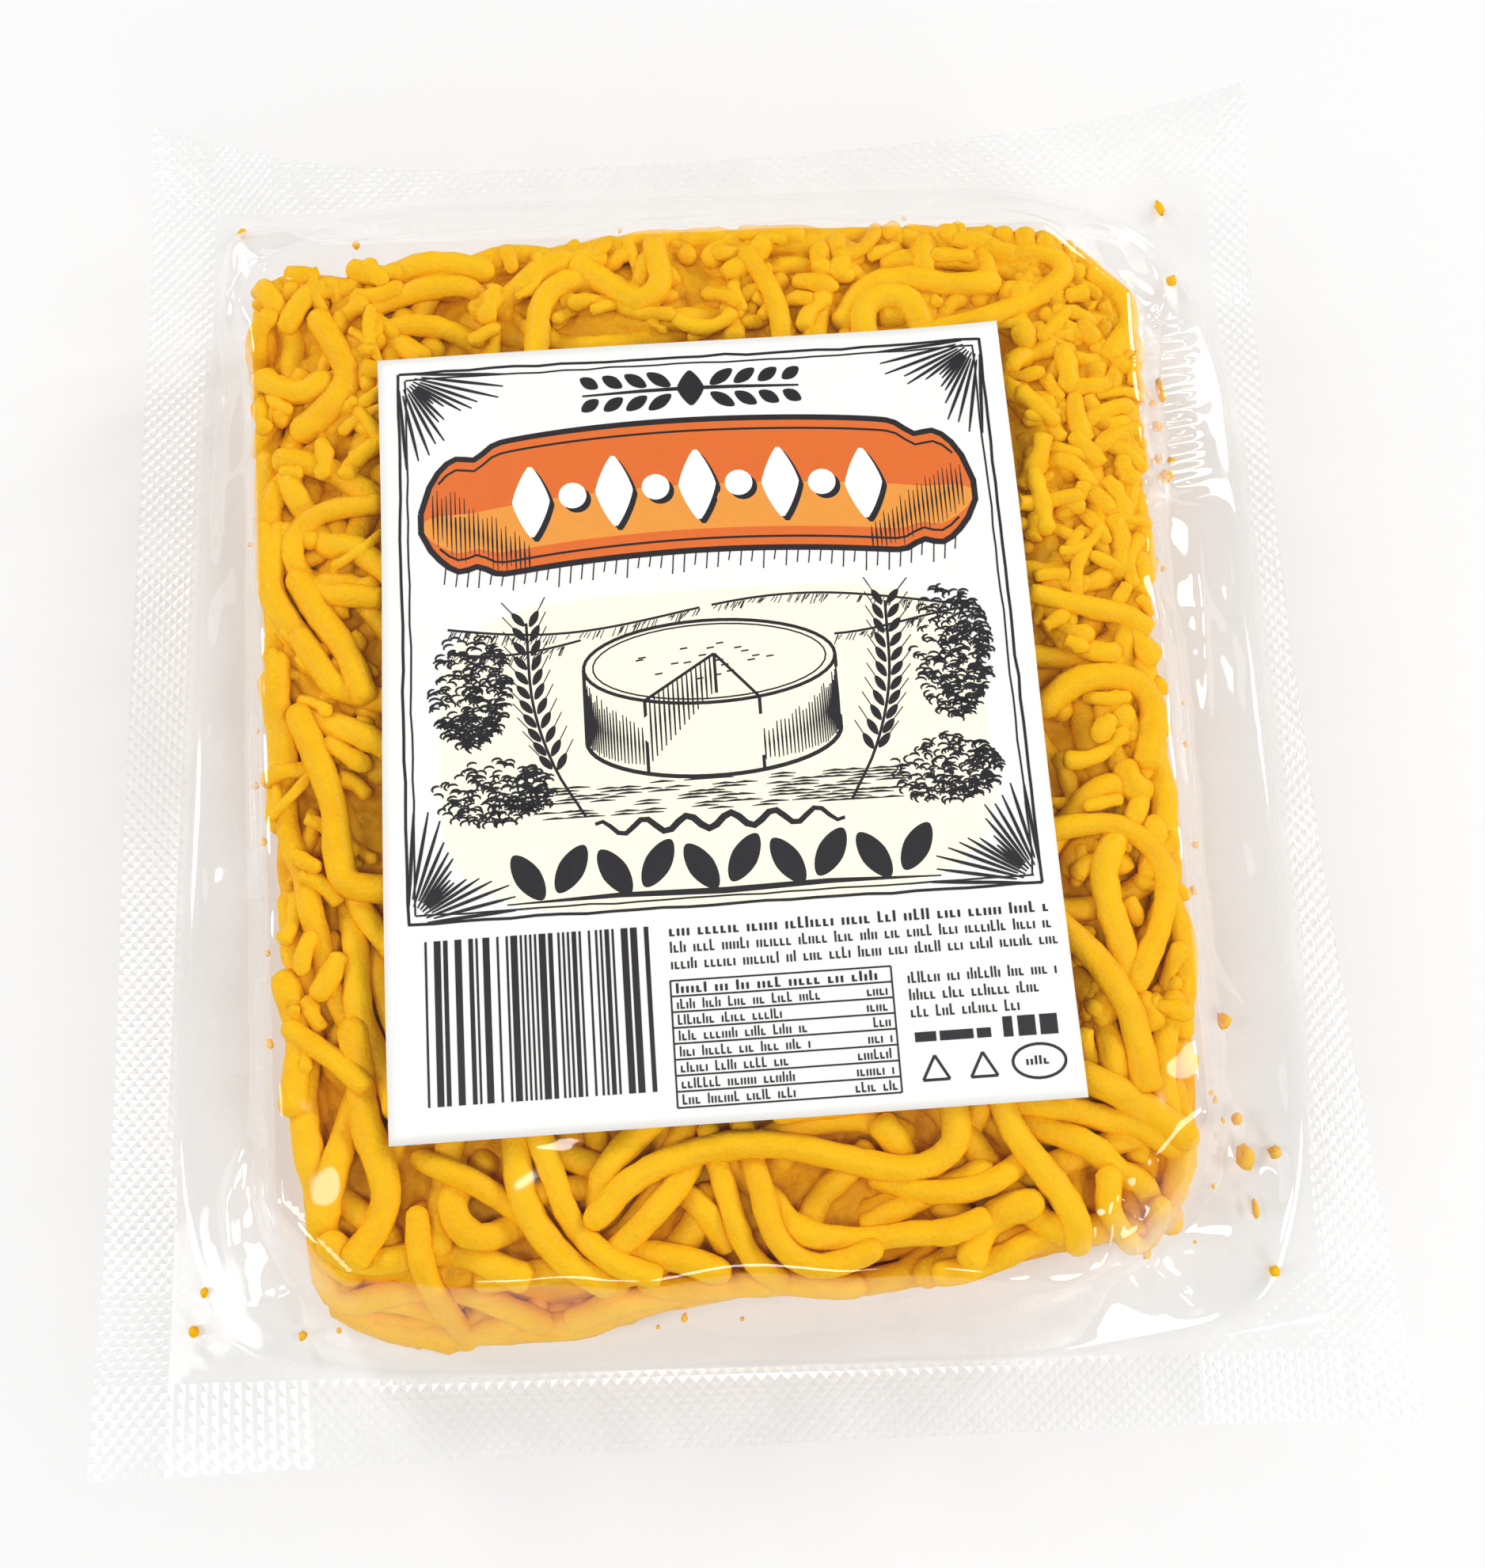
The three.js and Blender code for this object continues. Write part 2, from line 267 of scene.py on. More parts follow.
# Creases of the film: three points of a smooth line, its height (below 0 a valley), half width.
CREASES = (
    ((-36, -68.4), (-28, -68.8), (-18, -67.4), 0.4, 0.8),
    ((-40, -72.5), (-26, -73.5), (-10, -70.5), 0.5, 1.0),
    ((-12, -72.5), (0, -75.5), (18, -74.5), 0.45, 1.0),
    ((16, -74.0), (24, -74.0), (36, -71.0), 0.35, 0.9),
    ((40, -61.5), (39.2, -67.0), (38.4, -73.5), 0.9, 0.9),
    ((40.2, -61.5), (46.0, -70.5), (54.0, -77.0), 0.9, 1.1),
    ((38.5, -66.5), (44.0, -72.0), (50.0, -77.5), -0.8, 1.8),
    ((61.5, -59.0), (65.5, -65.0), (61.5, -73.0), 1.5, 1.8),
    ((55.2, 8.0), (55.0, 15.0), (54.6, 22.0), -1.7, 3.2),
    ((46.0, -76.5), (54.0, -74.0), (60.0, -71.0), 0.5, 1.2),
    ((50.0, 68.0), (60.5, 66.5), (61.5, 55.0), 0.8, 1.1),
    ((61.5, 56.0), (59.0, 50.0), (57.5, 44.0), 0.6, 1.0),
    ((-57.0, -48.0), (-60.5, -58.0), (-60.0, -66.0), 0.9, 1.4),
    ((-60.0, -66.0), (-59.0, -70.0), (-55.5, -73.5), 0.8, 1.1),
    ((-66.5, -60.0), (-67.0, -68.0), (-57.0, -76.0), 0.7, 1.0),
    ((-59.0, -3.0), (-57.0, -12.0), (-56.0, -22.0), 0.6, 0.7),
    ((-56.0, -31.0), (-55.4, -38.0), (-54.4, -46.0), 0.6, 0.7),
    ((56.0, 10.0), (55.4, -4.0), (54.8, -20.0), 0.6, 0.7),
    ((61.4, 21.0), (60.6, 8.0), (59.6, -4.0), 0.6, 0.8),
    ((53.0, 33.0), (56.0, 36.0), (59.0, 35.0), 0.6, 0.8),
    ((53.0, 19.0), (55.0, 26.0), (56.5, 31.0), 0.6, 0.9),
    ((52.0, 40.5), (55.0, 41.0), (58.0, 40.5), 0.4, 0.9),
    ((55.0, -34.0), (57.0, -38.0), (59.5, -40.5), 0.5, 0.7),
    ((-60.0, 62.0), (-56.0, 58.0), (-51.0, 55.5), 0.8, 1.1),
    ((-63.0, 50.0), (-61.0, 57.0), (-62.0, 64.0), 0.7, 1.2),
    ((-40.0, 64.0), (-10.0, 67.0), (30.0, 70.0), 0.35, 1.4),
    ((38.6, -16.5), (39.5, -18.0), (41.0, -19.2), 0.3, 0.5),
    ((37.6, -29.0), (39.4, -30.0), (41.6, -31.0), 0.3, 0.5),
    ((38.2, -45.0), (38.6, -47.0), (39.2, -49.5), 0.3, 0.5),
    ((43.2, -57.0), (44.2, -59.0), (45.2, -61.0), 0.3, 0.6),
    ((-26.5, -52.8), (-23.0, -53.2), (-18.5, -53.0), 0.25, 0.5),
    ((50.5, 12.0), (52.5, 15.0), (53.0, 19.5), 0.4, 0.8),
)


def crease_relief(x, y):
    """Rounded folds along the creases, fading out at their ends."""
    relief = np.zeros_like(x)
    for *points, height, half_width in CREASES:
        line = smooth_path(points, 1.0)
        low, high = line.min(0) - 3 * half_width, line.max(0) + 3 * half_width
        near = (x > low[0]) & (x < high[0]) & (y > low[1]) & (y < high[1])
        if not near.any():
            continue
        px, py = x[near], y[near]
        starts, spans = line[:-1], np.diff(line, axis=0)
        dx, dy = px[:, None] - starts[:, 0], py[:, None] - starts[:, 1]
        share = np.clip((dx * spans[:, 0] + dy * spans[:, 1]) / (spans**2).sum(1), 0, 1)
        apart = np.hypot(dx - share * spans[:, 0], dy - share * spans[:, 1])
        nearest = apart.argmin(1)
        rows = np.arange(len(px))
        along = (nearest + share[rows, nearest]) / len(starts)
        fade = np.sin(np.pi * np.clip(0.08 + 0.84 * along, 0, 1)) ** 0.6
        relief[near] += height * fade / (1 + (apart[rows, nearest] / half_width) ** 2) ** 1.5
    return relief


# Crumpled corners: middle in plan, reach, height of the fine folds.
CRUMPLED = ((-56, 60, 9, 1.3), (-52, -73, 7, 0.9), (56, -66, 9, 0.4))
BROAD_FOLDS = 0.35
FOLD_SHARPNESS = 0.7


def crinkle_relief(x, y):
    """Sharp little folds of the walls, finest at the crumpled corners."""
    fraction = wall_fraction(x, y)
    on_wall = smoothstep(fraction, 0.02, 0.2) * smoothstep(1.05 - fraction, 0, 0.15)
    broad = 1 - np.abs(smooth_noise(x, y, 7.5, 4)) ** FOLD_SHARPNESS
    fine = 1 - np.abs(smooth_noise(x, y, 3.2, 5)) ** FOLD_SHARPNESS
    relief = BROAD_FOLDS * broad
    for middle_x, middle_y, reach, height in CRUMPLED:
        relief += height * fine * np.exp(-(np.hypot(x - middle_x, y - middle_y) / reach) ** 2)
    return on_wall * relief


RIPPLE_HEIGHT = 0.55
RIPPLE_PITCH = 2.5
RIPPLE_HALF_WIDTH = 2.8


def ripple_relief(x, y):
    """The right wall is gathered into short ripples towards the back."""
    inside = smoothstep(y, 22, 32) * smoothstep(-y, -56, -50)
    band = np.exp(-(((x - 59.6 - 0.03 * y) / RIPPLE_HALF_WIDTH) ** 2))
    uneven = 0.6 + 0.4 * smooth_noise(x, y, 6, 6)
    waves = np.cos(2 * np.pi * (y - 0.35 * x) / RIPPLE_PITCH)
    return RIPPLE_HEIGHT * inside * band * uneven * waves


def film_height(x, y):
    """Top of the film over the floor."""
    x, y = np.broadcast_arrays(np.asarray(x, float), np.asarray(y, float))
    shape = x.shape
    x, y = x.ravel(), y.ravel()
    pocket = pocket_height(x, y)
    on_pocket = smoothstep(pocket, 0.0, 2.0)
    clear_of_label = smoothstep(-inside_label(x, y), -6, 4)
    relief = on_pocket * (crease_relief(x, y) + crinkle_relief(x, y) + ripple_relief(x, y))
    swells = 0.22 * smooth_noise(x, y, 5.0, 8) * on_pocket
    height = SEAL_TOP + pocket + clear_of_label * (relief + swells) + seal_curl(x, y)
    return height.reshape(shape)


# ---- the label's place ----

LABEL_CENTRE = (LABEL_LOW[:2] + LABEL_HIGH[:2]) / 2
LABEL_TURN = math.radians(1.42)
LABEL_HALF = np.array([39.0, 48.5])
LABEL_GAP = 0.12
PEEL = 0.9  # lift of the label's back right corner
PEEL_REACH = 16.0


def to_bag(across, along):
    """From the label's own axes to the bag's."""
    c, s = math.cos(LABEL_TURN), math.sin(LABEL_TURN)
    return LABEL_CENTRE[0] + across * c - along * s, LABEL_CENTRE[1] + across * s + along * c


def inside_label(x, y):
    """How deep a point lies inside the label's outline, negative outside it."""
    c, s = math.cos(LABEL_TURN), math.sin(LABEL_TURN)
    dx, dy = x - LABEL_CENTRE[0], y - LABEL_CENTRE[1]
    across, along = dx * c + dy * s, dy * c - dx * s
    return np.minimum(LABEL_HALF[0] - np.abs(across), LABEL_HALF[1] - np.abs(along))


# ---- meshes and pieces ----


def make_piece(name, points, faces, materials, node, smooth=True, values=None):
    """A mesh object from points in millimetres, tied to the frame. values are point attributes."""
    mesh = bpy.data.meshes.new(name)
    mesh.from_pydata((np.asarray(points, float) * MM).tolist(), [], [list(f) for f in faces])
    mesh.polygons.foreach_set("use_smooth", np.full(len(mesh.polygons), smooth))
    for key, column in (values or {}).items():
        attribute = mesh.attributes.new(key, "FLOAT", "POINT")
        attribute.data.foreach_set("value", np.asarray(column, np.float32))
    for material in materials:
        mesh.materials.append(material)
    mesh.update()
    piece = bpy.data.objects.new(name, mesh)
    bpy.context.scene.collection.objects.link(piece)
    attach(piece, "root")
    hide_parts(node)
    return piece


def grid_faces(rows, columns, offset=0, flip=False):
    """Quads of a grid of rows by columns cells, numbered row by row."""
    j, i = np.meshgrid(np.arange(rows), np.arange(columns), indexing="ij")
    a = (j * (columns + 1) + i).ravel() + offset
    quads = np.column_stack([a, a + 1, a + columns + 2, a + columns + 1])
    return quads[:, ::-1] if flip else quads


def rim_loop(rows, columns):
    """The points round a grid, anticlockwise from its first one."""
    row = columns + 1
    return np.concatenate([
        np.arange(columns),
        np.arange(rows) * row + columns,
        rows * row + np.arange(columns, 0, -1),
        np.arange(rows, 0, -1) * row,
    ])


def ring_faces(count, sides, offset):
    """Faces of a closed tube: count points, which are its rings one by one and then its two tips."""
    k = np.arange(sides)
    following = (k + 1) % sides
    start = np.arange(count // sides - 1)[:, None] * sides + offset
    quads = np.stack(
        [start + k, start + following, start + following + sides, start + k + sides], axis=-1,
    )
    tip = np.full(sides, offset + count - 2)
    last = offset + count - 2 - sides
    fans = np.vstack([
        np.column_stack([tip, offset + following, offset + k]),
        np.column_stack([tip + 1, last + k, last + following]),
    ])
    return quads.reshape(-1, 4).tolist() + fans.tolist()


def closed_sheet(top, bottom):
    """Points and faces of a closed sheet between two grids of points, rows by columns by 3."""
    rows, columns = top.shape[0] - 1, top.shape[1] - 1
    count = (rows + 1) * (columns + 1)
    points = np.vstack([top.reshape(-1, 3), bottom.reshape(-1, 3)])
    rim = rim_loop(rows, columns)
    after = np.roll(rim, -1)
    walls = np.column_stack([rim, rim + count, after + count, after])
    faces = np.vstack([
        grid_faces(rows, columns),
        grid_faces(rows, columns, count, flip=True),
        walls,
    ])
    return points, faces


# ---- shader helpers ----


def fresh_material(name):
    """A material without nodes."""
    material = bpy.data.materials.new(name)
    material.use_nodes = True
    material.node_tree.nodes.clear()
    return material


def add_node(tree, kind, inputs=None, **settings):
    """A node with its settings, and its inputs set to values or linked to other sockets."""
    made = tree.nodes.new(kind)
    for key, value in settings.items():
        setattr(made, key, value)
    for key, value in (inputs or {}).items():
        if isinstance(value, bpy.types.NodeSocket):
            tree.links.new(value, made.inputs[key])
        else:
            made.inputs[key].default_value = value
    return made


def new_group(name, inputs, outputs):
    """An empty shader node group with named sockets, and its input and output nodes."""
    tree = bpy.data.node_groups.new(name, "ShaderNodeTree")
    for label, kind, value in inputs:
        socket = tree.interface.new_socket(label, in_out="INPUT", socket_type=kind)
        socket.default_value = value
    for label, kind in outputs:
        tree.interface.new_socket(label, in_out="OUTPUT", socket_type=kind)
    return tree, tree.nodes.new("NodeGroupInput"), tree.nodes.new("NodeGroupOutput")


def placed_group(tree, group, **inputs):
    """A group node, with its inputs set by name (spaces written as underscores)."""
    made = tree.nodes.new("ShaderNodeGroup")
    made.node_tree = group
    for key, value in inputs.items():
        socket = made.inputs[key.replace("_", " ")]
        if isinstance(value, bpy.types.NodeSocket):
            tree.links.new(value, socket)
        else:
            socket.default_value = value
    return made


def mottle_group():
    """Uneven colour and fine grain, shared by cheese, paper, ink and the floor."""
    name = "Mottle and Grain"
    if name in bpy.data.node_groups:
        return bpy.data.node_groups[name]
    tree, given, result = new_group(
        name,
        (
            ("Dark", "NodeSocketColor", (0.5, 0.5, 0.5, 1)),
            ("Light", "NodeSocketColor", (0.8, 0.8, 0.8, 1)),
            ("Patch Scale", "NodeSocketFloat", 120.0),
            ("Grain Scale", "NodeSocketFloat", 1800.0),
            ("Grain Share", "NodeSocketFloat", 0.3),
        ),
        (("Color", "NodeSocketColor"), ("Mask", "NodeSocketFloat"), ("Height", "NodeSocketFloat")),
    )
    place = add_node(tree, "ShaderNodeTexCoord").outputs["Object"]
    patches = add_node(tree, "ShaderNodeTexNoise", {
        "Vector": place, "Scale": given.outputs["Patch Scale"], "Detail": 1.0, "Roughness": 0.55,
    })
    grain = add_node(tree, "ShaderNodeTexNoise", {
        "Vector": place, "Scale": given.outputs["Grain Scale"], "Detail": 1.0, "Roughness": 0.6,
    })
    mixed = add_node(tree, "ShaderNodeMix", {
        "Factor": given.outputs["Grain Share"],
        "A": patches.outputs["Fac"],
        "B": grain.outputs["Fac"],
    }, data_type="FLOAT")
    spread = add_node(tree, "ShaderNodeMapRange", {
        "Value": mixed.outputs["Result"], "From Min": 0.32, "From Max": 0.68,
    })
    colour = add_node(tree, "ShaderNodeMix", {
        "Factor": spread.outputs["Result"],
        "A": given.outputs["Dark"],
        "B": given.outputs["Light"],
    }, data_type="RGBA")
    tree.links.new(colour.outputs["Result"], result.inputs["Color"])
    tree.links.new(spread.outputs["Result"], result.inputs["Mask"])
    tree.links.new(mixed.outputs["Result"], result.inputs["Height"])
    return tree


def film_group():
    """Fine wrinkles of thin film, and where it is scuffed, shared by pocket and seal."""
    name = "Film Wrinkles"
    if name in bpy.data.node_groups:
        return bpy.data.node_groups[name]
    tree, given, result = new_group(
        name,
        (("Wrinkle Scale", "NodeSocketFloat", 160.0), ("Scuff Scale", "NodeSocketFloat", 60.0)),
        (("Height", "NodeSocketFloat"), ("Scuff", "NodeSocketFloat")),
    )
    place = add_node(tree, "ShaderNodeTexCoord").outputs["Object"]
    stretched = add_node(tree, "ShaderNodeMapping", {"Vector": place, "Scale": (1.0, 0.45, 1.0)})
    broad = add_node(tree, "ShaderNodeTexNoise", {
        "Vector": stretched.outputs["Vector"],
        "Scale": given.outputs["Wrinkle Scale"],
        "Detail": 1.0,
    })
    scuffs = add_node(tree, "ShaderNodeTexNoise", {
        "Vector": place, "Scale": given.outputs["Scuff Scale"], "Detail": 1.0, "Roughness": 0.65,
    })
    scuff = add_node(tree, "ShaderNodeMapRange", {
        "Value": scuffs.outputs["Fac"], "From Min": 0.42, "From Max": 0.7,
    })
    tree.links.new(broad.outputs["Fac"], result.inputs["Height"])
    tree.links.new(scuff.outputs["Result"], result.inputs["Scuff"])
    return tree


# ---- the film bag ----

LATTICE = 0.8  # pitch of the pressed pattern, and of most of the film's mesh
PRESS_DEPTH = 0.085
RIPPLE_ROWS = (22.0, 56.0)  # the mesh is twice as fine along the rippled stretch

# Cells in each band between the lines that the mesh follows, and cells to one pitch.
COLUMN_BANDS = ((11, 1), (26, 2), (135, 1), (34, 2), (20, 2))
ROW_BANDS = ((11, 1), (24, 2), (113, 1), (84, 2), (6, 1), (36, 2), (31, 2))


def band_shares(bands):
    """For each grid line: its band, its share of the band, and its place in pattern pitches."""
    placed = [(0, 0.0, 0.0)]
    for band, (cells, fineness) in enumerate(bands):
        start = placed[-1][2]
        for k in range(1, cells + 1):
            placed.append((band, k / cells, start + k / fineness))
    return placed


def line_places(lines, placed, other):
    """Where each grid line lies, given the other coordinate for all of the grid's points."""
    edges = [line(other) for line in lines]
    return np.stack([
        edges[band][k] * (1 - share) + edges[band + 1][k] * share
        for k, (band, share, _) in enumerate(placed)
    ])


def film_grid():
    """The plan of the film's mesh: x and y of its points, and their place in the pattern."""
    columns, rows = band_shares(COLUMN_BANDS), band_shares(ROW_BANDS)
    across_lines = (edge_left, foot_left, shoulder_left, shoulder_right, foot_right, edge_right)
    along_lines = (
        edge_front, foot_front, shoulder_front,
        lambda x: RIPPLE_ROWS[0] + 0 * x, lambda x: RIPPLE_ROWS[1] + 0 * x,
        shoulder_back, foot_back, edge_back,
    )
    x = np.zeros((len(rows), len(columns)))
    y = np.zeros_like(x)
    for _ in range(6):
        x = line_places(across_lines, columns, y.T).T
        y = line_places(along_lines, rows, x)
    pitch_x = np.tile([place for _, _, place in columns], (len(rows), 1))
    pitch_y = np.tile([[place] for _, _, place in rows], (1, len(columns)))
    right_seal = sum(cells for cells, _ in COLUMN_BANDS[:-1])
    back_seal = sum(cells for cells, _ in ROW_BANDS[:-1])
    over_right = (x[:, right_seal:] - foot_right(y[:, right_seal:])) / LATTICE
    pitch_x[:, right_seal:] = pitch_x[0, right_seal] + over_right
    over_back = (y[back_seal:] - foot_back(x[back_seal:])) / LATTICE
    pitch_y[back_seal:] = pitch_y[back_seal, 0] + over_back
    return x, y, pitch_x, pitch_y


def pressed(x, y, pitch_x, pitch_y):
    """The pressed pattern of the seal: two crossing sets of ribs, uneven in strength."""
    on_seal = smoothstep(wall_fraction(x, y), 1.04, 1.16)
    lean = 0.5 + 0.08 * np.tanh(smooth_noise(x, y, 34, 11) * 3)
    rising = np.cos(np.pi * (pitch_x - pitch_y))
    falling = np.cos(np.pi * (pitch_x + pitch_y))
    return on_seal * PRESS_DEPTH * (lean * rising + (1 - lean) * falling)


TOP_MILK = 0.004
WALL_MILK = 0.10
STREAK_MILK = 0.12
SEAL_MILK = 0.42


def film_veil(x, y):
    """How milky the film is: hardly on the top and front, more on the other walls and the seal."""
    fraction = wall_fraction(x, y)
    wall = smoothstep(fraction, 0.02, 0.22)
    front = smoothstep(-(y - shoulder_front(x)), 0.0, 1.2) * smoothstep(44 - x, 0, 8)
    seal = smoothstep(fraction, 0.92, 1.08)
    streaks = 0.5 + 0.5 * smooth_noise(x * 2.2, y, 9, 12)
    milky = (WALL_MILK + STREAK_MILK * streaks) * (1 - 0.65 * smoothstep(x, 38, 52))
    veil = TOP_MILK + wall * (milky - front * (0.092 + 0.09 * streaks))
    return veil * (1 - seal) + seal * SEAL_MILK


def film_surface():
    """The closed envelope: formed film on top, flat film below, joined round the edge."""
    x, y, pitch_x, pitch_y = film_grid()
    rows, columns = x.shape[0] - 1, x.shape[1] - 1
    relief = pressed(x, y, pitch_x, pitch_y)
    top = np.dstack([x, y, film_height(x, y) + relief])
    under = np.dstack([x, y, SEAL_TOP - WELD + seal_curl(x, y) + relief])
    # The bottom film is only as fine as the top one where it is pressed; its middle is one face.
    count = x.size
    left, right = COLUMN_BANDS[0][0], columns - COLUMN_BANDS[-1][0]
    front, back = ROW_BANDS[0][0], rows - ROW_BANDS[-1][0]
    j, i = np.meshgrid(np.arange(rows), np.arange(columns), indexing="ij")
    on_ring = ((i < left) | (i >= right) | (j < front) | (j >= back)).ravel()
    below = grid_faces(rows, columns, count, flip=True)[on_ring]
    rim = rim_loop(rows, columns)
    after = np.roll(rim, -1)
    walls = np.column_stack([rim, rim + count, after + count, after])
    inner_rows, inner_columns = back - front, right - left
    inner = rim_loop(inner_rows, inner_columns)
    inner_j, inner_i = np.divmod(inner, inner_columns + 1)
    base = (front + inner_j) * (columns + 1) + left + inner_i + count
    tops = grid_faces(rows, columns)
    return x, y, top, under, tops, below, walls, base[::-1], on_ring


def split_quads(quads, heights):
    """Quads split from low corner to low corner, so that the pressed pattern stands up as dots."""
    a, b, c, d = quads.T
    first = np.column_stack([a, b, c, a, c, d])
    second = np.column_stack([a, b, d, b, c, d])
    level = heights[a] + heights[c] < heights[b] + heights[d]
    return np.where(level[:, None], first, second).reshape(-1, 3)


def build_film(settings):
    """The film bag: smooth clear film, and the pressed seal with flat facets."""
    x, y, top, under, tops, below, walls, base, on_ring = film_surface()
    points = np.vstack([top.reshape(-1, 3), under.reshape(-1, 3)])
    smooth_tops = tops[~on_ring]
    pressed_faces = split_quads(np.vstack([tops[on_ring], below]), points[:, 2])
    faces = [list(q) for q in smooth_tops] + [list(base)]
    faces += [list(q) for q in pressed_faces] + [list(q) for q in walls]
    used = np.unique(np.concatenate([np.asarray(f) for f in faces]))
    number = np.full(len(points), -1)
    number[used] = np.arange(len(used))
    faces = [number[f].tolist() for f in faces]
    # The flat film under the pocket is clearer than the formed one over it.
    veil = np.tile(film_veil(x, y).ravel(), 2)
    veil[len(veil) // 2:] *= np.where(wall_fraction(x, y).ravel() < 0.95, 0.1, 1)
    piece = make_piece(
        "film_bag", points[used], faces,
        [clear_film(settings), pressed_seal(settings)], "bag",
        values={"veil": veil[used]},
    )
    clear_count = len(smooth_tops) + 1
    index = np.zeros(len(faces), int)
    index[clear_count:] = 1
    piece.data.polygons.foreach_set("material_index", index)
    flat = np.ones(len(faces), bool)
    flat[clear_count:] = False
    piece.data.polygons.foreach_set("use_smooth", flat)
    # Light falls through the film onto the filling, the label and the floor, and back out.
    piece.visible_shadow = False
    piece.visible_diffuse = False
    return piece


def film_shader(name, settings, roughness, wrinkle_scale):
    """Thin film: clear, with a milky veil and a skin that mirrors more at a glancing angle."""
    material = fresh_material(name)
    tree = material.node_tree
    wrinkles = placed_group(tree, film_group(), Wrinkle_Scale=wrinkle_scale, Scuff_Scale=70.0)
    bump = add_node(tree, "ShaderNodeBump", {
        "Strength": settings.wrinkle_strength,
        "Distance": 0.0004,
        "Height": wrinkles.outputs["Height"],
    })
    veil = add_node(tree, "ShaderNodeAttribute", attribute_name="veil")
    scuffed = add_node(tree, "ShaderNodeMapRange", {
        "Value": wrinkles.outputs["Scuff"], "To Min": 0.85, "To Max": 1.25,
    })
    milk = add_node(tree, "ShaderNodeMath", {
        0: veil.outputs["Fac"], 1: scuffed.outputs["Result"],
    }, operation="MULTIPLY", use_clamp=True)
    clear = add_node(tree, "ShaderNodeBsdfTransparent", {"Color": (0.985, 0.985, 0.985, 1)})
    body = add_node(tree, "ShaderNodeBsdfPrincipled", {
        "Base Color": (*settings.film_colour, 1), "Roughness": 0.55, "Normal": bump.outputs["Normal"],
    })
    veiled = add_node(tree, "ShaderNodeMixShader", {
        0: milk.outputs["Value"], 1: clear.outputs["BSDF"], 2: body.outputs["BSDF"],
    })
    facing = add_node(tree, "ShaderNodeLayerWeight", {"Blend": 0.5, "Normal": bump.outputs["Normal"]})
    steep = add_node(tree, "ShaderNodeMath", {0: facing.outputs["Facing"], 1: 5.0}, operation="POWER")
    mirror = add_node(tree, "ShaderNodeMapRange", {
        "Value": steep.outputs["Value"], "To Min": settings.film_mirror, "To Max": 1.0,
    })
    gloss = add_node(tree, "ShaderNodeBsdfGlossy", {
        "Color": (1, 1, 1, 1), "Roughness": roughness, "Normal": bump.outputs["Normal"],
    })
    skin = add_node(tree, "ShaderNodeMixShader", {
        0: mirror.outputs["Result"], 1: veiled.outputs["Shader"], 2: gloss.outputs["BSDF"],
    })
    add_node(tree, "ShaderNodeOutputMaterial", {"Surface": skin.outputs["Shader"]})
    return material


def clear_film(settings):
    """The smooth film over and under the filling."""
    return film_shader("Clear Film", settings, roughness=0.06, wrinkle_scale=150.0)


def pressed_seal(settings):
    """The two films welded together, duller than the smooth film."""
    return film_shader("Pressed Seal", settings, roughness=0.16, wrinkle_scale=60.0)


# ---- the shreds ----

AIR = 0.2  # between the shreds and the film
BASE_FILM = 0.45  # the lowest that the filling lies over the floor

# How far out the filling reaches: pairs of the place along a side and the reach there.
REACH_LEFT = ((-67, -49.6), (-48, -52.3), (-10, -56.0), (48, -59.7), (58, -59.0))
REACH_RIGHT = ((-67, 50.0), (-53, 52.8), (-24, 53.2), (27, 54.0), (48, 56.0), (58, 53.5))
REACH_BACK = ((-58, 58.0), (-31, 60.8), (-20, 62.6), (1, 64.0), (36, 63.6), (53, 57.6))
REACH_FRONT = (
    (-52, -68.6), (-47, -72.6), (-38, -75.8), (-17, -75.2), (-12, -72.6), (0, -71.2), (13, -72.4),
    (24, -71.2), (30, -69.2), (38, -67.6), (53, -66),
)

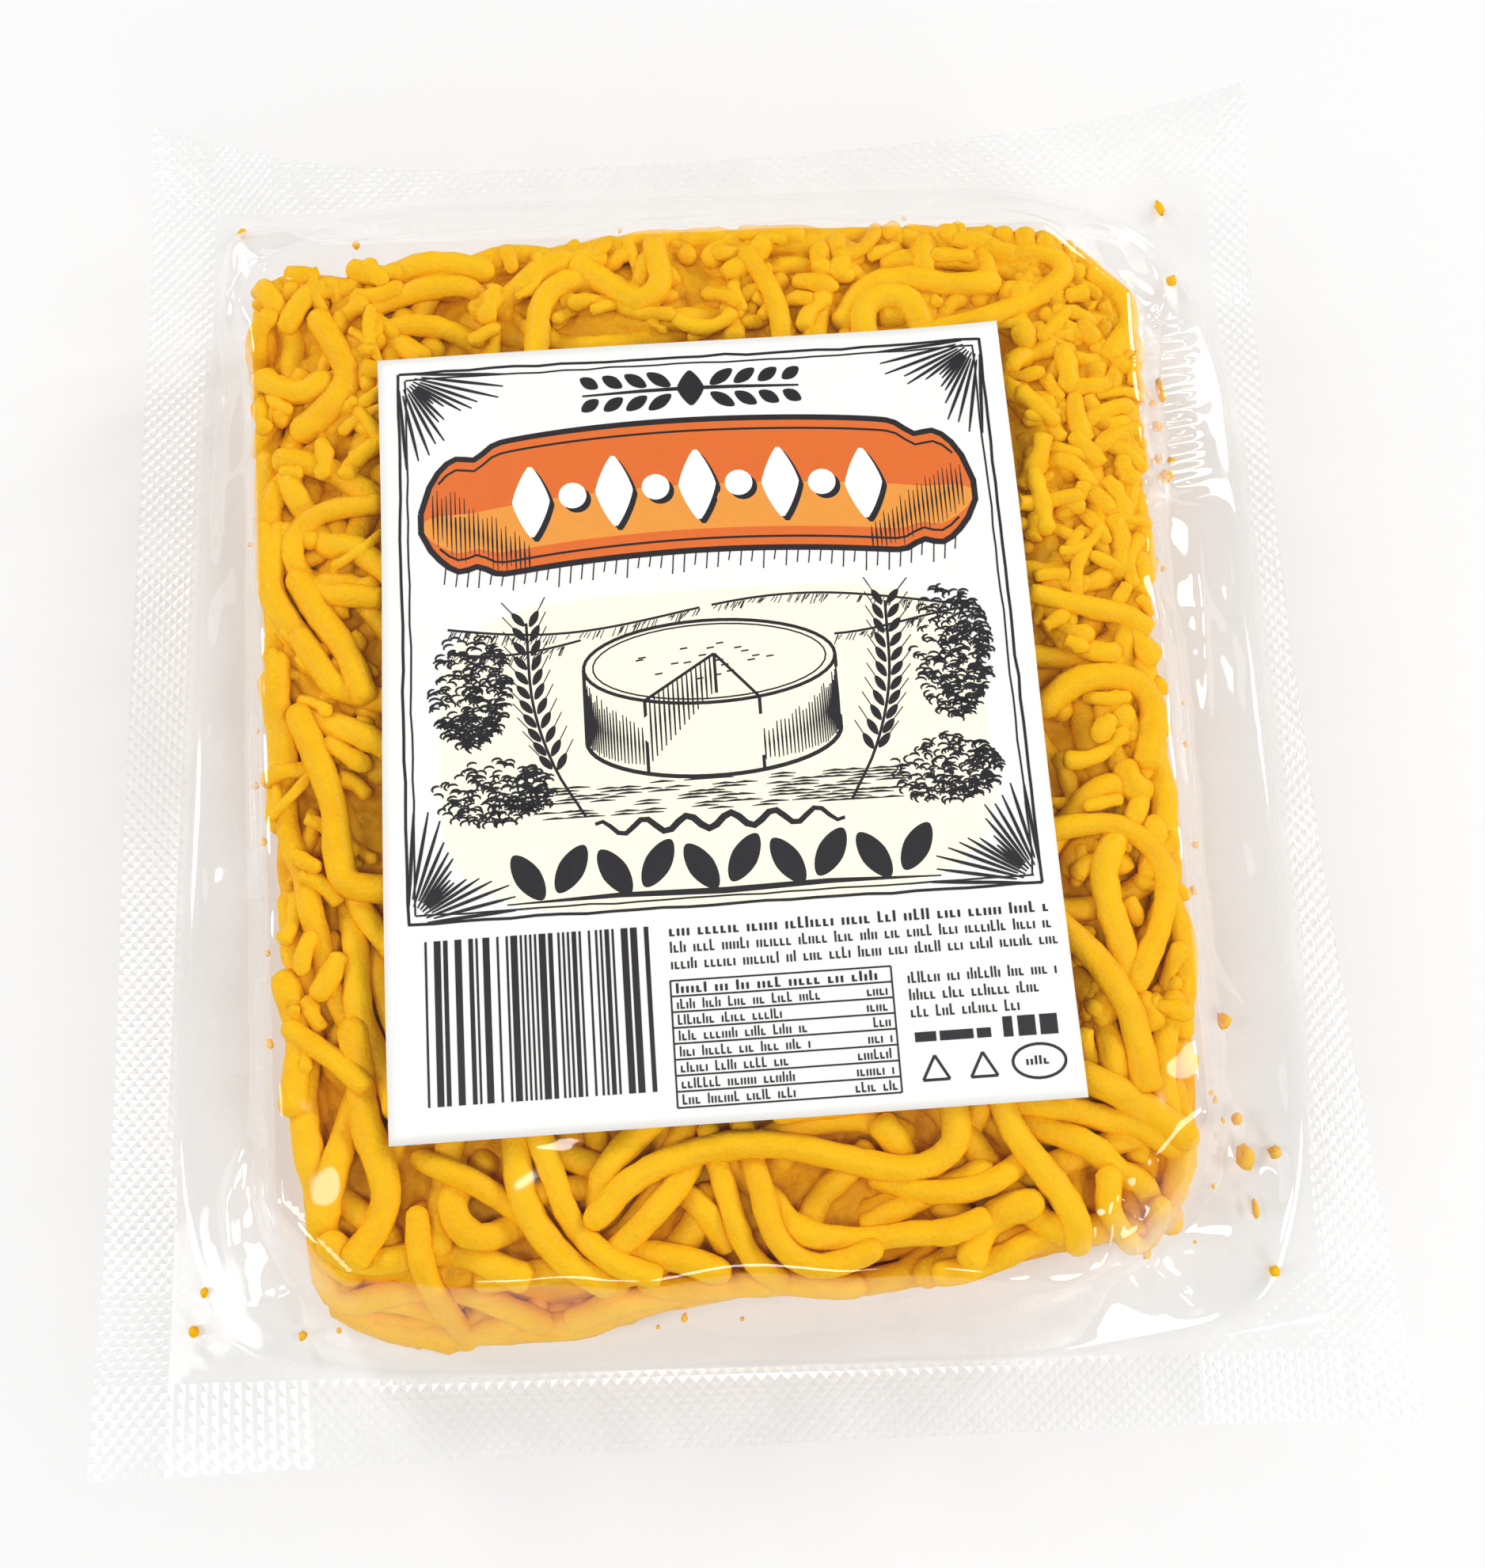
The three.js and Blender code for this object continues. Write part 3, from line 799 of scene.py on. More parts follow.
# Shreds that lie on top, each a few points that it curls through and how deep it lies (0 top).
TOP_SHREDS = (
    # along the front
    (2, ((-10, -51), (-14, -54.5), (-16.5, -57.5), (-17, -61))),
    (2, ((-16.5, -66), (-12.7, -66), (-8, -66.8), (-4, -68.3))),
    (2, ((6, -64), (7.9, -60.7), (10.4, -58.6), (13, -56))),
    (2, ((13, -64), (17, -62.3), (20, -61))),
    (2, ((24, -68), (25.6, -65), (28, -63.4), (31, -62.6))),
    (2, ((48.9, -50), (49.5, -56), (48.5, -61), (46.5, -65))),
    (1, ((-43.6, -44), (-46, -54), (-47.5, -60), (-47.6, -64), (-45, -66.5))),
    (1, ((-46.5, -63.5), (-44, -65.3), (-40, -65.4), (-36, -64.8), (-32, -65.2), (-25.5, -68))),
    (1, ((-33, -50), (-34.4, -57), (-35, -61.5), (-34.8, -64))),
    (1, ((-32.5, -57.8), (-33.2, -59.6), (-32.6, -61.8), (-31, -63.2), (-28.5, -63.4), (-26, -61.8))),
    (1, ((-37, -54.6), (-31, -57.4), (-28, -59.4), (-25.5, -61.3))),
    (1, ((-15.2, -65.6), (-12.7, -63.5), (-10.4, -61.2), (-8, -58.6), (-6, -55))),
    (1, ((-4.5, -53), (-2.7, -60), (-1.6, -64), (0, -67.3), (2.6, -69.5))),
    (1, ((2, -60.5), (4.7, -63.9), (8, -65.2), (12.5, -65.6), (17.5, -65.2), (22, -65.2), (25.5, -64))),
    (1, ((14.5, -59), (19, -60.7), (23.8, -60.8), (28, -59.5), (31.5, -57), (33, -53))),
    (1, ((31, -53.3), (35.6, -55.3), (38.8, -57.1), (41.5, -59.4), (44.5, -61), (46.5, -64))),
    (1, ((30, -51), (36.5, -52.5), (40.5, -53.6), (44.3, -54.6), (48, -57))),
    (1, ((40, -60), (39.8, -63.5), (41.2, -66), (43.6, -67.4), (46, -66.4), (46, -63.5))),
    (0, ((-44.5, -40), (-43, -50), (-41.2, -55), (-40.5, -58.5), (-41.5, -62), (-43.8, -65))),
    (0, ((-37, -61), (-36.7, -64.5), (-36, -68), (-34.8, -71), (-33, -74.5))),
    (0, ((-26.2, -51), (-25.7, -57.7), (-24.6, -61.2), (-22.7, -64.2), (-20, -67), (-16.5, -69))),
    (0, ((-24, -51), (-21.5, -58.5), (-20.4, -61.5), (-18.5, -64.2), (-15, -67), (-11, -68.5))),
    (1, ((-0.8, -52), (1.1, -59.4), (1.7, -62.5), (3, -65.7), (6, -68), (9.5, -68), (13, -66.8))),
    (0, ((-17.3, -62), (-13, -58), (-6, -55.3), (1, -54.8), (6, -55.5), (14.7, -57.8), (19.3, -58),
         (22.4, -56.4), (23.4, -54), (23, -50))),
    (0, ((28.2, -49), (29.8, -54.5), (32.3, -58.4), (34.4, -61.4), (35.8, -64.5), (36, -67))),
    (0, ((38, -48.6), (43, -51.3), (46.5, -53.6), (49.5, -56))),
    # up the right side
    (2, ((50.5, -28), (51.6, -33), (51.6, -38), (50.6, -44))),
    (1, ((49.8, -40.5), (48, -45.5), (47.4, -50), (48, -53))),
    (1, ((39.5, -37), (41.6, -42.2), (42, -46.3), (42.4, -51))),
    (1, ((45.4, -4.8), (45.6, -9.7), (47, -13), (48, -18))),
    (1, ((37, -21.5), (40.3, -17.8), (42.2, -15.9), (45, -14.8), (49, -15.4))),
    (0, ((45.2, -20.5), (43, -25), (43.2, -29.5), (44, -33), (44.6, -36.5), (43, -40))),
    (0, ((35, -20.4), (41.2, -19.6), (44.8, -19.8), (48, -21.6), (50, -25), (50, -28.5),
         (48.8, -32.2), (47, -35.5), (45.4, -38.6))),
    (0, ((35, -29), (40.3, -34.7), (42.6, -38), (44.3, -41.6), (45, -45.5), (45.3, -50))),
    (0, ((38, -4.5), (41.5, -2), (45, -1.2), (48.7, -1.8), (50.8, -4.3), (50.6, -8), (49.6, -12))),
    (0, ((38, 9.6), (45.3, 7.4), (48.7, 6.6), (51.2, 4.9))),
    (1, ((38.5, 38), (41, 33.5), (43, 30.3), (43.8, 26.5))),
    (1, ((46.5, 27.5), (47, 22.5), (46.8, 17))),
    (1, ((51, 32.5), (51.4, 27), (50.4, 21))),
    (1, ((50, 54.4), (49.7, 50), (48.4, 46.2), (49, 42))),
    (0, ((50, 54), (52.8, 51.8), (54, 49), (53.3, 46), (50.8, 42.5))),
    (1, ((41, 44.6), (43.6, 42.3), (45.0, 39), (45.8, 35.3), (45.4, 31))),
    # up the left side
    (2, ((-52.6, -24), (-51.7, -29.7), (-50.3, -33.5), (-47.8, -38))),
    (2, ((-50, -39), (-50.5, -46), (-49.4, -53), (-48, -59))),
    (2, ((-52.6, 40), (-53.6, 34.4), (-53.5, 29), (-51, 24))),
    (1, ((-53.6, -10.5), (-52.6, -16.3), (-50.8, -21.3), (-49.4, -26.7), (-48.2, -31.7),
         (-46.4, -36.5), (-44, -42))),
    (1, ((-54.2, 5), (-54.2, -0.5), (-53.2, -4), (-53, -9))),
    (1, ((-51.5, -1.5), (-48, -3), (-44.5, -4.6), (-40, -7))),
    (1, ((-46, -24), (-44.6, -29.7), (-44.2, -34), (-43.8, -38.5), (-42, -43), (-39.5, -49))),
    (1, ((-45, -23.5), (-42.6, -27.6), (-39, -32))),
    (1, ((-57, 55.5), (-55.4, 52.8), (-53.8, 49.2), (-54, 45), (-53, 41.5))),
    (1, ((-54, 50.5), (-51.8, 54), (-49.5, 55.6), (-46, 55.8))),
    (1, ((-49.8, 22), (-48.2, 19.9), (-45, 19.4), (-40.5, 15.5))),
    (1, ((-54.6, 22.5), (-55.6, 17.5), (-55, 13.5), (-52.6, 9.4), (-50.2, 6.2), (-48, 3))),
    (1, ((-54.6, 32), (-50.6, 31.2), (-47.5, 30), (-43, 26.5))),
    (0, ((-51.5, -2), (-50, -5.5), (-48.4, -9.5), (-47, -14), (-46.5, -19), (-45.2, -22.8), (-40, -24))),
    (0, ((-51.5, 8), (-49, 4), (-46.5, 1.2), (-40.5, -0.5))),
    (0, ((-51.5, -39.5), (-48.2, -42), (-45.7, -43.8), (-43.2, -46.3))),
    (0, ((-57.6, 44.2), (-55.4, 42.2), (-52, 41.2), (-49.5, 42.5))),
    (0, ((-50, 51), (-48, 47.4), (-46.5, 43.8), (-47, 40.8), (-49.5, 38), (-52, 36))),
    (0, ((-42.5, 25), (-48.5, 24.5), (-51.8, 22.4), (-52.8, 19), (-51.2, 15.8), (-48.2, 13.6),
         (-42, 12.4))),
    (0, ((-52, 15.5), (-49, 10.5), (-46, 6), (-43.5, 0))),
    (2, ((-48, -8), (-46.8, -13), (-44.5, -18), (-42, -23))),
    (2, ((-47.5, -29), (-46, -35), (-46.6, -41), (-45, -47))),
    (2, ((-44, 3), (-43.4, -2), (-42, -9))),
    (2, ((-55.2, 3), (-54, -5), (-54.2, -14))),
    (2, ((-52.4, -34), (-50.8, -41), (-51.2, -48))),
    # along the back
    (2, ((30, 60), (35, 60.2), (37, 57))),
    (2, ((-46, 47.5), (-40, 50), (-34, 49.5), (-29, 47))),
    (2, ((-41, 57.5), (-35, 58.6), (-29, 57.4))),
    (2, ((-12, 51), (-5, 49.4), (2, 50.6), (6, 53))),
    (1, ((-44, 53), (-38, 54.6), (-31, 55), (-26, 52))),
    (1, ((-30, 52), (-25, 54.5), (-20, 58), (-14, 59))),
    (1, ((0.5, 58.5), (3, 60.8), (8, 60.6), (14.5, 60), (19, 58))),
    (1, ((14.5, 58.5), (14.6, 53.5), (13, 46))),
    (1, ((23, 57), (30, 57), (36, 56.5), (40, 55))),
    (0, ((-22.5, 43), (-21.8, 51.5), (-19.5, 54.6), (-16, 55.8), (-12, 55))),
    (0, ((-16.8, 57.8), (-12.8, 54.4), (-9, 52), (-6.4, 54.5), (-7, 60))),
    (0, ((5, 58), (7.4, 53.5), (8.8, 48), (8.6, 43))),
    (0, ((17, 48.5), (20, 53), (25, 54), (31, 52.8), (36, 53))),
    (0, ((20, 43), (19.4, 49), (22, 51.3), (25.6, 50.4), (28, 43))),
    (0, ((26, 45.4), (33, 47.2), (37, 48.4), (41, 50), (44.3, 52.2), (45.8, 54.6), (44, 56.6),
         (40.5, 57))),
)

LEVEL_DROP = 2.3  # from one depth of the top shreds to the next
# Painted shade: cheese lying between these depths under the film is painted more and more the darker
# amber of the gaps.
GAP_SHADE_DEPTH = (2.8, 7.4)  # under the film, where the gaps between shreds begin and end to look amber
BURIED_TOP = 4.6  # the buried shreds keep this far under the film, except below the label
FINE_STEP = 1.15
COARSE_STEP = 1.9


def along_side(reach, place):
    """The filling's reach at a place along one of its sides."""
    return np.interp(place, *np.array(reach, float).T)


def reach_inside(x, y):
    """How far a point in plan lies inside the outline of the filling."""
    return np.minimum.reduce([
        x - along_side(REACH_LEFT, y),
        along_side(REACH_RIGHT, y) - x,
        along_side(REACH_BACK, x) - y,
        y - along_side(REACH_FRONT, x),
    ])


def ceiling(x, y, radius):
    """The highest that a shred's middle may lie so that the shred stays under the film."""
    highest = np.full(np.shape(x), 99.0)
    for share, ways in ((0.0, 1), (0.5, 6), (0.8, 8), (0.97, 8)):
        for turn in np.linspace(0, 2 * np.pi, ways, endpoint=False):
            px, py = x + radius * share * np.cos(turn), y + radius * share * np.sin(turn)
            film = SEAL_TOP + pocket_height(px, py)
            film = np.minimum(film, film_height(px, py)) - AIR
            highest = np.minimum(highest, film - radius * math.sqrt(1 - share * share))
    return highest


FILLED_X = (-56, 54)
FILLED_Y = (-74, 62)
SWERVES = (0, 0.12, -0.12, 0.3, -0.3, 0.55, -0.55)


def wandering_path(draw, length, radius):
    """A curling path in plan that turns back where it would leave the filling."""
    x, y = draw.uniform(*FILLED_X), draw.uniform(*FILLED_Y)
    while reach_inside(x, y) < radius:
        x, y = draw.uniform(*FILLED_X), draw.uniform(*FILLED_Y)
    heading = draw.uniform(0, 2 * np.pi)
    bend, sway = draw.uniform(-0.05, 0.05), draw.uniform(0.02, 0.07)
    phase, wave = draw.uniform(0, 2 * np.pi), draw.uniform(18, 40)
    path = [(x, y)]
    steps = int(length / COARSE_STEP)
    for k in range(steps):
        turn = (bend + sway * np.sin(phase + k * COARSE_STEP * 2 * np.pi / wave)) * COARSE_STEP
        best = None
        for swerve in SWERVES:
            angle = heading + turn + swerve
            ahead = 2.2 * COARSE_STEP
            spare = reach_inside(x + ahead * np.cos(angle), y + ahead * np.sin(angle)) - radius
            if best is None or spare > best[0]:
                best = (spare, angle)
            if spare > 0:
                best = (spare, angle)
                break
        heading = best[1]
        x, y = x + COARSE_STEP * np.cos(heading), y + COARSE_STEP * np.sin(heading)
        if reach_inside(x, y) < radius * 0.6:
            break
        path.append((x, y))
    return np.array(path)


def buried_shreds(draw, settings):
    """Paths of the shreds in the heap, laid where the heap is still thin."""
    cell, across = 3.0, 60
    laid = np.zeros((across, across))

    def cells(path):
        return tuple(np.clip((path / cell + across / 2).astype(int), 0, across - 1).T)

    shreds = []
    for k in range(settings.buried_count):
        radius = settings.shred_diameter / 2 / MM * draw.uniform(0.88, 1.1)
        length = draw.uniform(22, 85) if draw.random() < 0.8 else draw.uniform(8, 20)
        tries = [wandering_path(draw, length, radius) for _ in range(7)]
        tries = [path for path in tries if len(path) > 4]
        path = min(tries, key=lambda p: laid[cells(p)].mean())
        np.add.at(laid, cells(path), 1)
        shreds.append({"plan": path, "radius": radius, "share": (k + 0.5) / settings.buried_count})
    return shreds


def filler_shreds(draw, settings):
    """Paths of shreds just under the top ones, round the label."""
    shreds = []
    while len(shreds) < settings.filler_count:
        radius = settings.shred_diameter / 2 / MM * draw.uniform(0.85, 1.05)
        path = wandering_path(draw, draw.uniform(12, 46), radius)
        if len(path) > 4 and np.mean(inside_label(path[:, 0], path[:, 1]) < 2) > 0.8:
            shreds.append({"plan": path, "radius": radius, "depth": draw.uniform(0.8, 2.4)})
    return shreds


# Where short broken bits lie: corners of each field in plan, and its share of them.
BIT_FIELDS = (
    (38, 8, 56, 58, 0.44),
    (-30, 47, 50, 62, 0.20),
    (-59, 34, -42, 60, 0.12),
    (-56, -46, -43, 34, 0.08),
    (39, -50, 53, 8, 0.12),
)


def broken_bits(draw, settings):
    """Short broken bits in the crumbly parts of the filling."""
    shreds = []
    for low_x, low_y, high_x, high_y, share in BIT_FIELDS:
        for _ in range(int(settings.bit_count * share)):
            x, y = draw.uniform(low_x, high_x), draw.uniform(low_y, high_y)
            radius = draw.uniform(0.65, 1.4)
            length = draw.uniform(1.5, 7.5)
            heading, bend = draw.uniform(0, np.pi), draw.uniform(-0.12, 0.12)
            along = np.linspace(-length / 2, length / 2, max(int(length / FINE_STEP), 3) + 1)
            turn = heading + bend * along
            plan = np.column_stack([x + along * np.cos(turn), y + along * np.sin(turn)])
            if reach_inside(plan[:, 0], plan[:, 1]).min() > radius * 0.4:
                depth = draw.uniform(0.0, 1.8)
                shreds.append({"plan": plan, "radius": radius, "depth": depth, "broken": True})
    return shreds


def top_shreds(draw, settings):
    """Paths of the shreds that lie on top, deepest first."""
    shreds = []
    for level in (2, 1, 0):
        for depth, points in TOP_SHREDS:
            if depth == level:
                radius = settings.shred_diameter / 2 / MM * draw.uniform(0.82, 1.08)
                plan = smooth_path(points, FINE_STEP)
                shreds.append({"plan": plan, "radius": radius, "depth": level})
    return shreds


WIDEST = 3.4  # shreds whose middles are further apart in plan never touch
SETTLE_ROUNDS = 140
PACKING = 0.9  # soft shreds press into each other a little where they cross
PUSH = 0.45  # share of an overlap that each of the two shreds gives way to in a round
PULL = 0.02  # share of the way back to its wanted height that a shred moves in a round


def settle(shreds):
    """Heights of the shreds: each is pushed off those it crosses, between base and film."""
    plan = np.vstack([s["plan"] for s in shreds])
    sizes = [len(s["plan"]) for s in shreds]
    owner = np.repeat(np.arange(len(shreds)), sizes)
    radius = np.array([s["radius"] for s in shreds])[owner]
    lowest = BASE_FILM + radius
    highest = np.maximum(ceiling(plan[:, 0], plan[:, 1], radius), lowest)
    clear = BURIED_TOP * smoothstep(-inside_label(plan[:, 0], plan[:, 1]), -12, 0)
    wanted = np.empty(len(plan))
    for k, shred in enumerate(shreds):
        mine = owner == k
        if "depth" in shred:
            wanted[mine] = highest[mine] - LEVEL_DROP * shred["depth"]
        else:
            spare = np.maximum(highest[mine] - clear[mine], lowest[mine])
            wanted[mine] = lowest[mine] + shred["share"] * (spare - lowest[mine])
    wanted = np.clip(wanted, lowest, highest)
    tree = kdtree.KDTree(len(plan))
    for k, (px, py) in enumerate(plan):
        tree.insert((px, py, 0), k)
    tree.balance()
    under, over, gaps = [], [], []
    for k, (px, py) in enumerate(plan):
        for _, other, apart in tree.find_range((px, py, 0), WIDEST):
            if owner[other] > owner[k] and apart < radius[k] + radius[other]:
                under.append(k)
                over.append(other)
                gaps.append(math.sqrt((radius[k] + radius[other]) ** 2 - apart**2))
    under, over, gaps = np.array(under), np.array(over), PACKING * np.array(gaps)
    inner = (owner[1:-1] == owner[:-2]) & (owner[1:-1] == owner[2:])
    height = wanted.copy()
    for _ in range(SETTLE_ROUNDS):
        short = np.maximum(gaps - (height[over] - height[under]), 0)
        rise, fall = np.zeros(len(plan)), np.zeros(len(plan))
        np.maximum.at(rise, over, short)
        np.maximum.at(fall, under, short)
        height += PUSH * (rise - fall) + PULL * (wanted - height)
        middle = height[1:-1].copy()
        eased = 0.5 * middle + 0.25 * (height[:-2] + height[2:])
        height[1:-1] = np.where(inner, eased, middle)
        height = np.clip(height, lowest, highest)
    ends = np.cumsum(sizes)
    for shred, start, end in zip(shreds, ends - sizes, ends):
        shred["line"] = np.column_stack([shred["plan"], height[start:end]])


# Rings of a shred's end: how far out each lies and its size, as shares of the radius.
TORN_END = ((0.55, 0.62), (0.32, 0.88))
ROUND_END = ((0.82, 0.5), (0.5, 0.84))
TORN_SHARE = 0.35


def shred_tube(line, radius, sides, draw, lumpy):
    """Points of the rings round a shred's centreline and of its two tips, rounded or torn."""
    forward = unit(np.gradient(line, axis=0))
    torn = draw.random(2) < TORN_SHARE
    caps = [TORN_END if t else ROUND_END for t in torn]
    centres = [line[0] - forward[0] * radius * out for out, _ in caps[0]]
    scales = [scale for _, scale in caps[0]]
    centres += list(line)
    scales += [1.0] * len(line)
    centres += [line[-1] + forward[-1] * radius * out for out, _ in reversed(caps[1])]
    scales += [scale for _, scale in reversed(caps[1])]
    centres, scales = np.array(centres), np.array(scales)
    forward = np.vstack([forward[:1], forward[:1], forward, forward[-1:], forward[-1:]])
    side = unit(np.cross(forward, (0.0, 0.0, 1.0)))
    lift = np.cross(side, forward)
    along = np.arange(len(centres))[:, None]
    angle = np.linspace(0, 2 * np.pi, sides, endpoint=False)[None, :]
    waves = draw.uniform(0, 2 * np.pi, 3)
    swell = 1 + 0.035 * np.sin(along * 0.55 + waves[0])
    swell = swell + 0.03 * np.sin(2 * angle + along * 0.2 + waves[1])
    swell = swell + 0.02 * np.sin(along * 1.7 + 3 * angle + waves[2])
    swell = swell * (1 + lumpy * draw.normal(0, 1, (len(centres), 1)))
    reach = radius * scales[:, None] * swell + draw.normal(0, 0.018, swell.shape)
    rings = (
        centres[:, None, :]
        + (reach * np.cos(angle) * 1.03)[..., None] * side[:, None, :]
        + (reach * np.sin(angle) * 0.97)[..., None] * lift[:, None, :]
    )
    tips = np.array([
        centres[0] - forward[0] * radius * (0.06 if torn[0] else 0.16),
        centres[-1] + forward[-1] * radius * (0.06 if torn[1] else 0.16),
    ])
    return np.vstack([rings.reshape(-1, 3), tips])


def build_shreds(settings):
    """All the shreds, settled together: the whole ones are one piece and the bits another."""
    draw = np.random.default_rng(settings.seed)
    shreds = buried_shreds(draw, settings) + filler_shreds(draw, settings)
    covered = broken_bits(draw, settings) + top_shreds(draw, settings)
    shreds += sorted(covered, key=lambda shred: -shred["depth"])
    settle(shreds)
    bits = [shred for shred in shreds if "broken" in shred]
    whole = [shred for shred in shreds if "broken" not in shred]
    return [
        shred_piece("cheese_shreds", whole, 0.03, draw, settings),
        shred_piece("cheese_bits", bits, 0.13, draw, settings),
    ]


SEEN_SIDES = 11
BURIED_SIDES = 8


def shred_piece(name, shreds, lumpy, draw, settings):
    """One piece of cheese made of many tubes; each has a tone of its own."""
    points, faces, tones = [], [], []
    offset = 0
    for shred in shreds:
        sides = SEEN_SIDES if "depth" in shred else BURIED_SIDES
        tube = shred_tube(shred["line"], shred["radius"], sides, draw, lumpy)
        points.append(tube)
        faces += ring_faces(len(tube), sides, offset)
        tones.append(np.full(len(tube), draw.uniform()))
        offset += len(tube)
    points = np.vstack(points)
    # The depth under the film goes on the points as the mask of the painted gap shade.
    return make_piece(
        name, points, faces, [cheese(settings)], "bag",
        values={"tone": np.concatenate(tones), "depth": gap_shade_mask(points)},
    )


def gap_shade_mask(points):
    """How deep points lie under the film, as a share of the deepest gap seen between shreds: the mask of
    the painted shade in those gaps.
    """
    x, y, z = points.T
    return smoothstep(SEAL_TOP + pocket_height(x, y) - z, *GAP_SHADE_DEPTH)


HEAP_INSET = 1.6
HEAP_FRONT_INSET = 4.2
HEAP_COVER = 4.7  # the shreds lie this deep over the heap
CRUMBLY_COVER = 2.4  # and the bits this deep over it
RIDGE_PITCH = 3.3
CROSSING_PITCH = 3.6
GRAIN_SIZE = 3.0  # of the heap's crumbs
HEAP_COLUMNS = 150
HEAP_ROWS = 186
HEAP_TONE = 0.25


def crumbly(x, y):
    """Where the filling is broken into bits: 1 along the back and up the right side, else 0."""
    right = smoothstep(x, 36, 41) * smoothstep(y, 2, 14)
    back = smoothstep(y, 46, 51) * smoothstep(x, -34, -26)
    corner = 0.7 * smoothstep(-np.hypot(x + 52, y - 52), -14, -6)
    return np.maximum(np.maximum(right, 0.6 * back), corner)


def grainy(x, y, draw):
    """Rounded lumps of crumb size, packed side by side."""
    i, j = np.floor(x / GRAIN_SIZE).astype(int), np.floor(y / GRAIN_SIZE).astype(int)
    shifts = draw.uniform(0.1, 0.9, (2, 64, 64))
    nearest = np.full(x.shape, 99.0)
    for a in (-1, 0, 1):
        for b in (-1, 0, 1):
            column, row = (i + a) % 64, (j + b) % 64
            px = (i + a + shifts[0][column, row]) * GRAIN_SIZE
            py = (j + b + shifts[1][column, row]) * GRAIN_SIZE
            nearest = np.minimum(nearest, np.hypot(x - px, y - py))
    return np.sqrt(np.maximum(1 - (nearest / (0.75 * GRAIN_SIZE)) ** 2, 0))


def build_heap(settings):
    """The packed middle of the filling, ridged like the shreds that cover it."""
    draw = np.random.default_rng(settings.seed + 2)
    across, along = np.meshgrid(
        np.linspace(0, 1, HEAP_COLUMNS + 1), np.linspace(0, 1, HEAP_ROWS + 1),
    )
    x, y = 100 * (across - 0.5), 130 * (along - 0.5)
    for _ in range(4):
        left = along_side(REACH_LEFT, y) + HEAP_INSET
        right = along_side(REACH_RIGHT, y) - HEAP_INSET
        back = along_side(REACH_BACK, x) - HEAP_INSET
        front = along_side(REACH_FRONT, x) + HEAP_FRONT_INSET
        x = left + (right - left) * across
        y = front + (back - front) * along
    turn = 1.6 * smooth_noise(x, y, 26, 31)
    warp = 2.2 * smooth_noise(x, y, 8, 32)
    over = x * np.cos(turn) + y * np.sin(turn) + warp
    aside = y * np.cos(turn) - x * np.sin(turn) - warp
    ridge = np.abs(np.cos(np.pi / RIDGE_PITCH * over))
    crossing = np.abs(np.cos(np.pi / CROSSING_PITCH * aside))
    relief = 1.5 * np.maximum(ridge, 0.9 * crossing) ** 0.7 + 0.6 * smooth_noise(x, y, 5, 33)
    edge = smoothstep(np.minimum.reduce([across, 1 - across, along, 1 - along]), 0, 0.03)
    crumbs = crumbly(x, y) * smoothstep(-inside_label(x, y), -6, 2)
    cover = HEAP_COVER + (CRUMBLY_COVER - HEAP_COVER) * crumbs
    lumps = 1.9 * grainy(x, y, draw) + 0.7 * smooth_noise(x, y, 1.7, 34)
    relief = relief * (1 - crumbs) + lumps * crumbs
    top = ceiling(x, y, 0.3) - cover + relief - 1.2 - 2.0 * (1 - edge)
    top = np.maximum(top, BASE_FILM + 2.4)
    low = np.minimum(BASE_FILM + 1.9 - 0.8 * relief + draw.normal(0, 0.05, x.shape), top - 0.4)
    low = np.maximum(low, BASE_FILM + 0.1)
    points, faces = closed_sheet(np.dstack([x, y, top]), np.dstack([x, y, low]))
    # The depth under the film goes on the points as the mask of the painted gap shade.
    return make_piece(
        "cheese_heap", points, faces, [cheese(settings)], "bag",
        values={"tone": np.full(len(points), HEAP_TONE), "depth": gap_shade_mask(points)},
    )


def cheese(settings):
    """Soft waxy cheese: deep yellow, a little lighter on some shreds, with a fine moist grain, and
    painted shade: darker amber where it lies deep in the gaps.
    """
    name = "Cheddar"
    if name in bpy.data.materials:
        return bpy.data.materials[name]
    material = fresh_material(name)
    tree = material.node_tree
    mottle = placed_group(
        tree, mottle_group(),
        Dark=(*settings.cheese_dark, 1), Light=(*settings.cheese_light, 1),
        Patch_Scale=260.0, Grain_Scale=1900.0, Grain_Share=0.45,
    )
    tone = add_node(tree, "ShaderNodeAttribute", attribute_name="tone")
    paler = add_node(tree, "ShaderNodeMapRange", {
        "Value": tone.outputs["Fac"], "To Min": 0.0, "To Max": 0.35,
    })
    colour = add_node(tree, "ShaderNodeMix", {
        "Factor": paler.outputs["Result"],
        "A": mottle.outputs["Color"],
        "B": (*settings.cheese_pale, 1),
    }, data_type="RGBA")
    # Painted shade: the deeper under the film, the more the colour turns to the darker amber of the
    # gaps.
    depth = add_node(tree, "ShaderNodeAttribute", attribute_name="depth")
    gap_shade = add_node(tree, "ShaderNodeMath", {0: depth.outputs["Fac"], 1: 0.7}, operation="MULTIPLY")
    colour = add_node(tree, "ShaderNodeMix", {
        "Factor": gap_shade.outputs["Value"],
        "A": colour.outputs["Result"],
        "B": (*settings.cheese_gap_shade, 1),
    }, data_type="RGBA")
    bump = add_node(tree, "ShaderNodeBump", {
        "Strength": 0.75, "Distance": 0.0004, "Height": mottle.outputs["Height"],
    })
    rough = add_node(tree, "ShaderNodeMapRange", {
        "Value": mottle.outputs["Mask"], "To Min": 0.34, "To Max": 0.52,
    })
    body = add_node(tree, "ShaderNodeBsdfPrincipled", {
        "Base Color": colour.outputs["Result"],
        "Roughness": rough.outputs["Result"],
        "Specular IOR Level": 0.12,
        "Normal": bump.outputs["Normal"],
    })
    add_node(tree, "ShaderNodeOutputMaterial", {"Surface": body.outputs["BSDF"]})
    return material


# ---- the label ----

PAPER_THICKNESS = 0.11


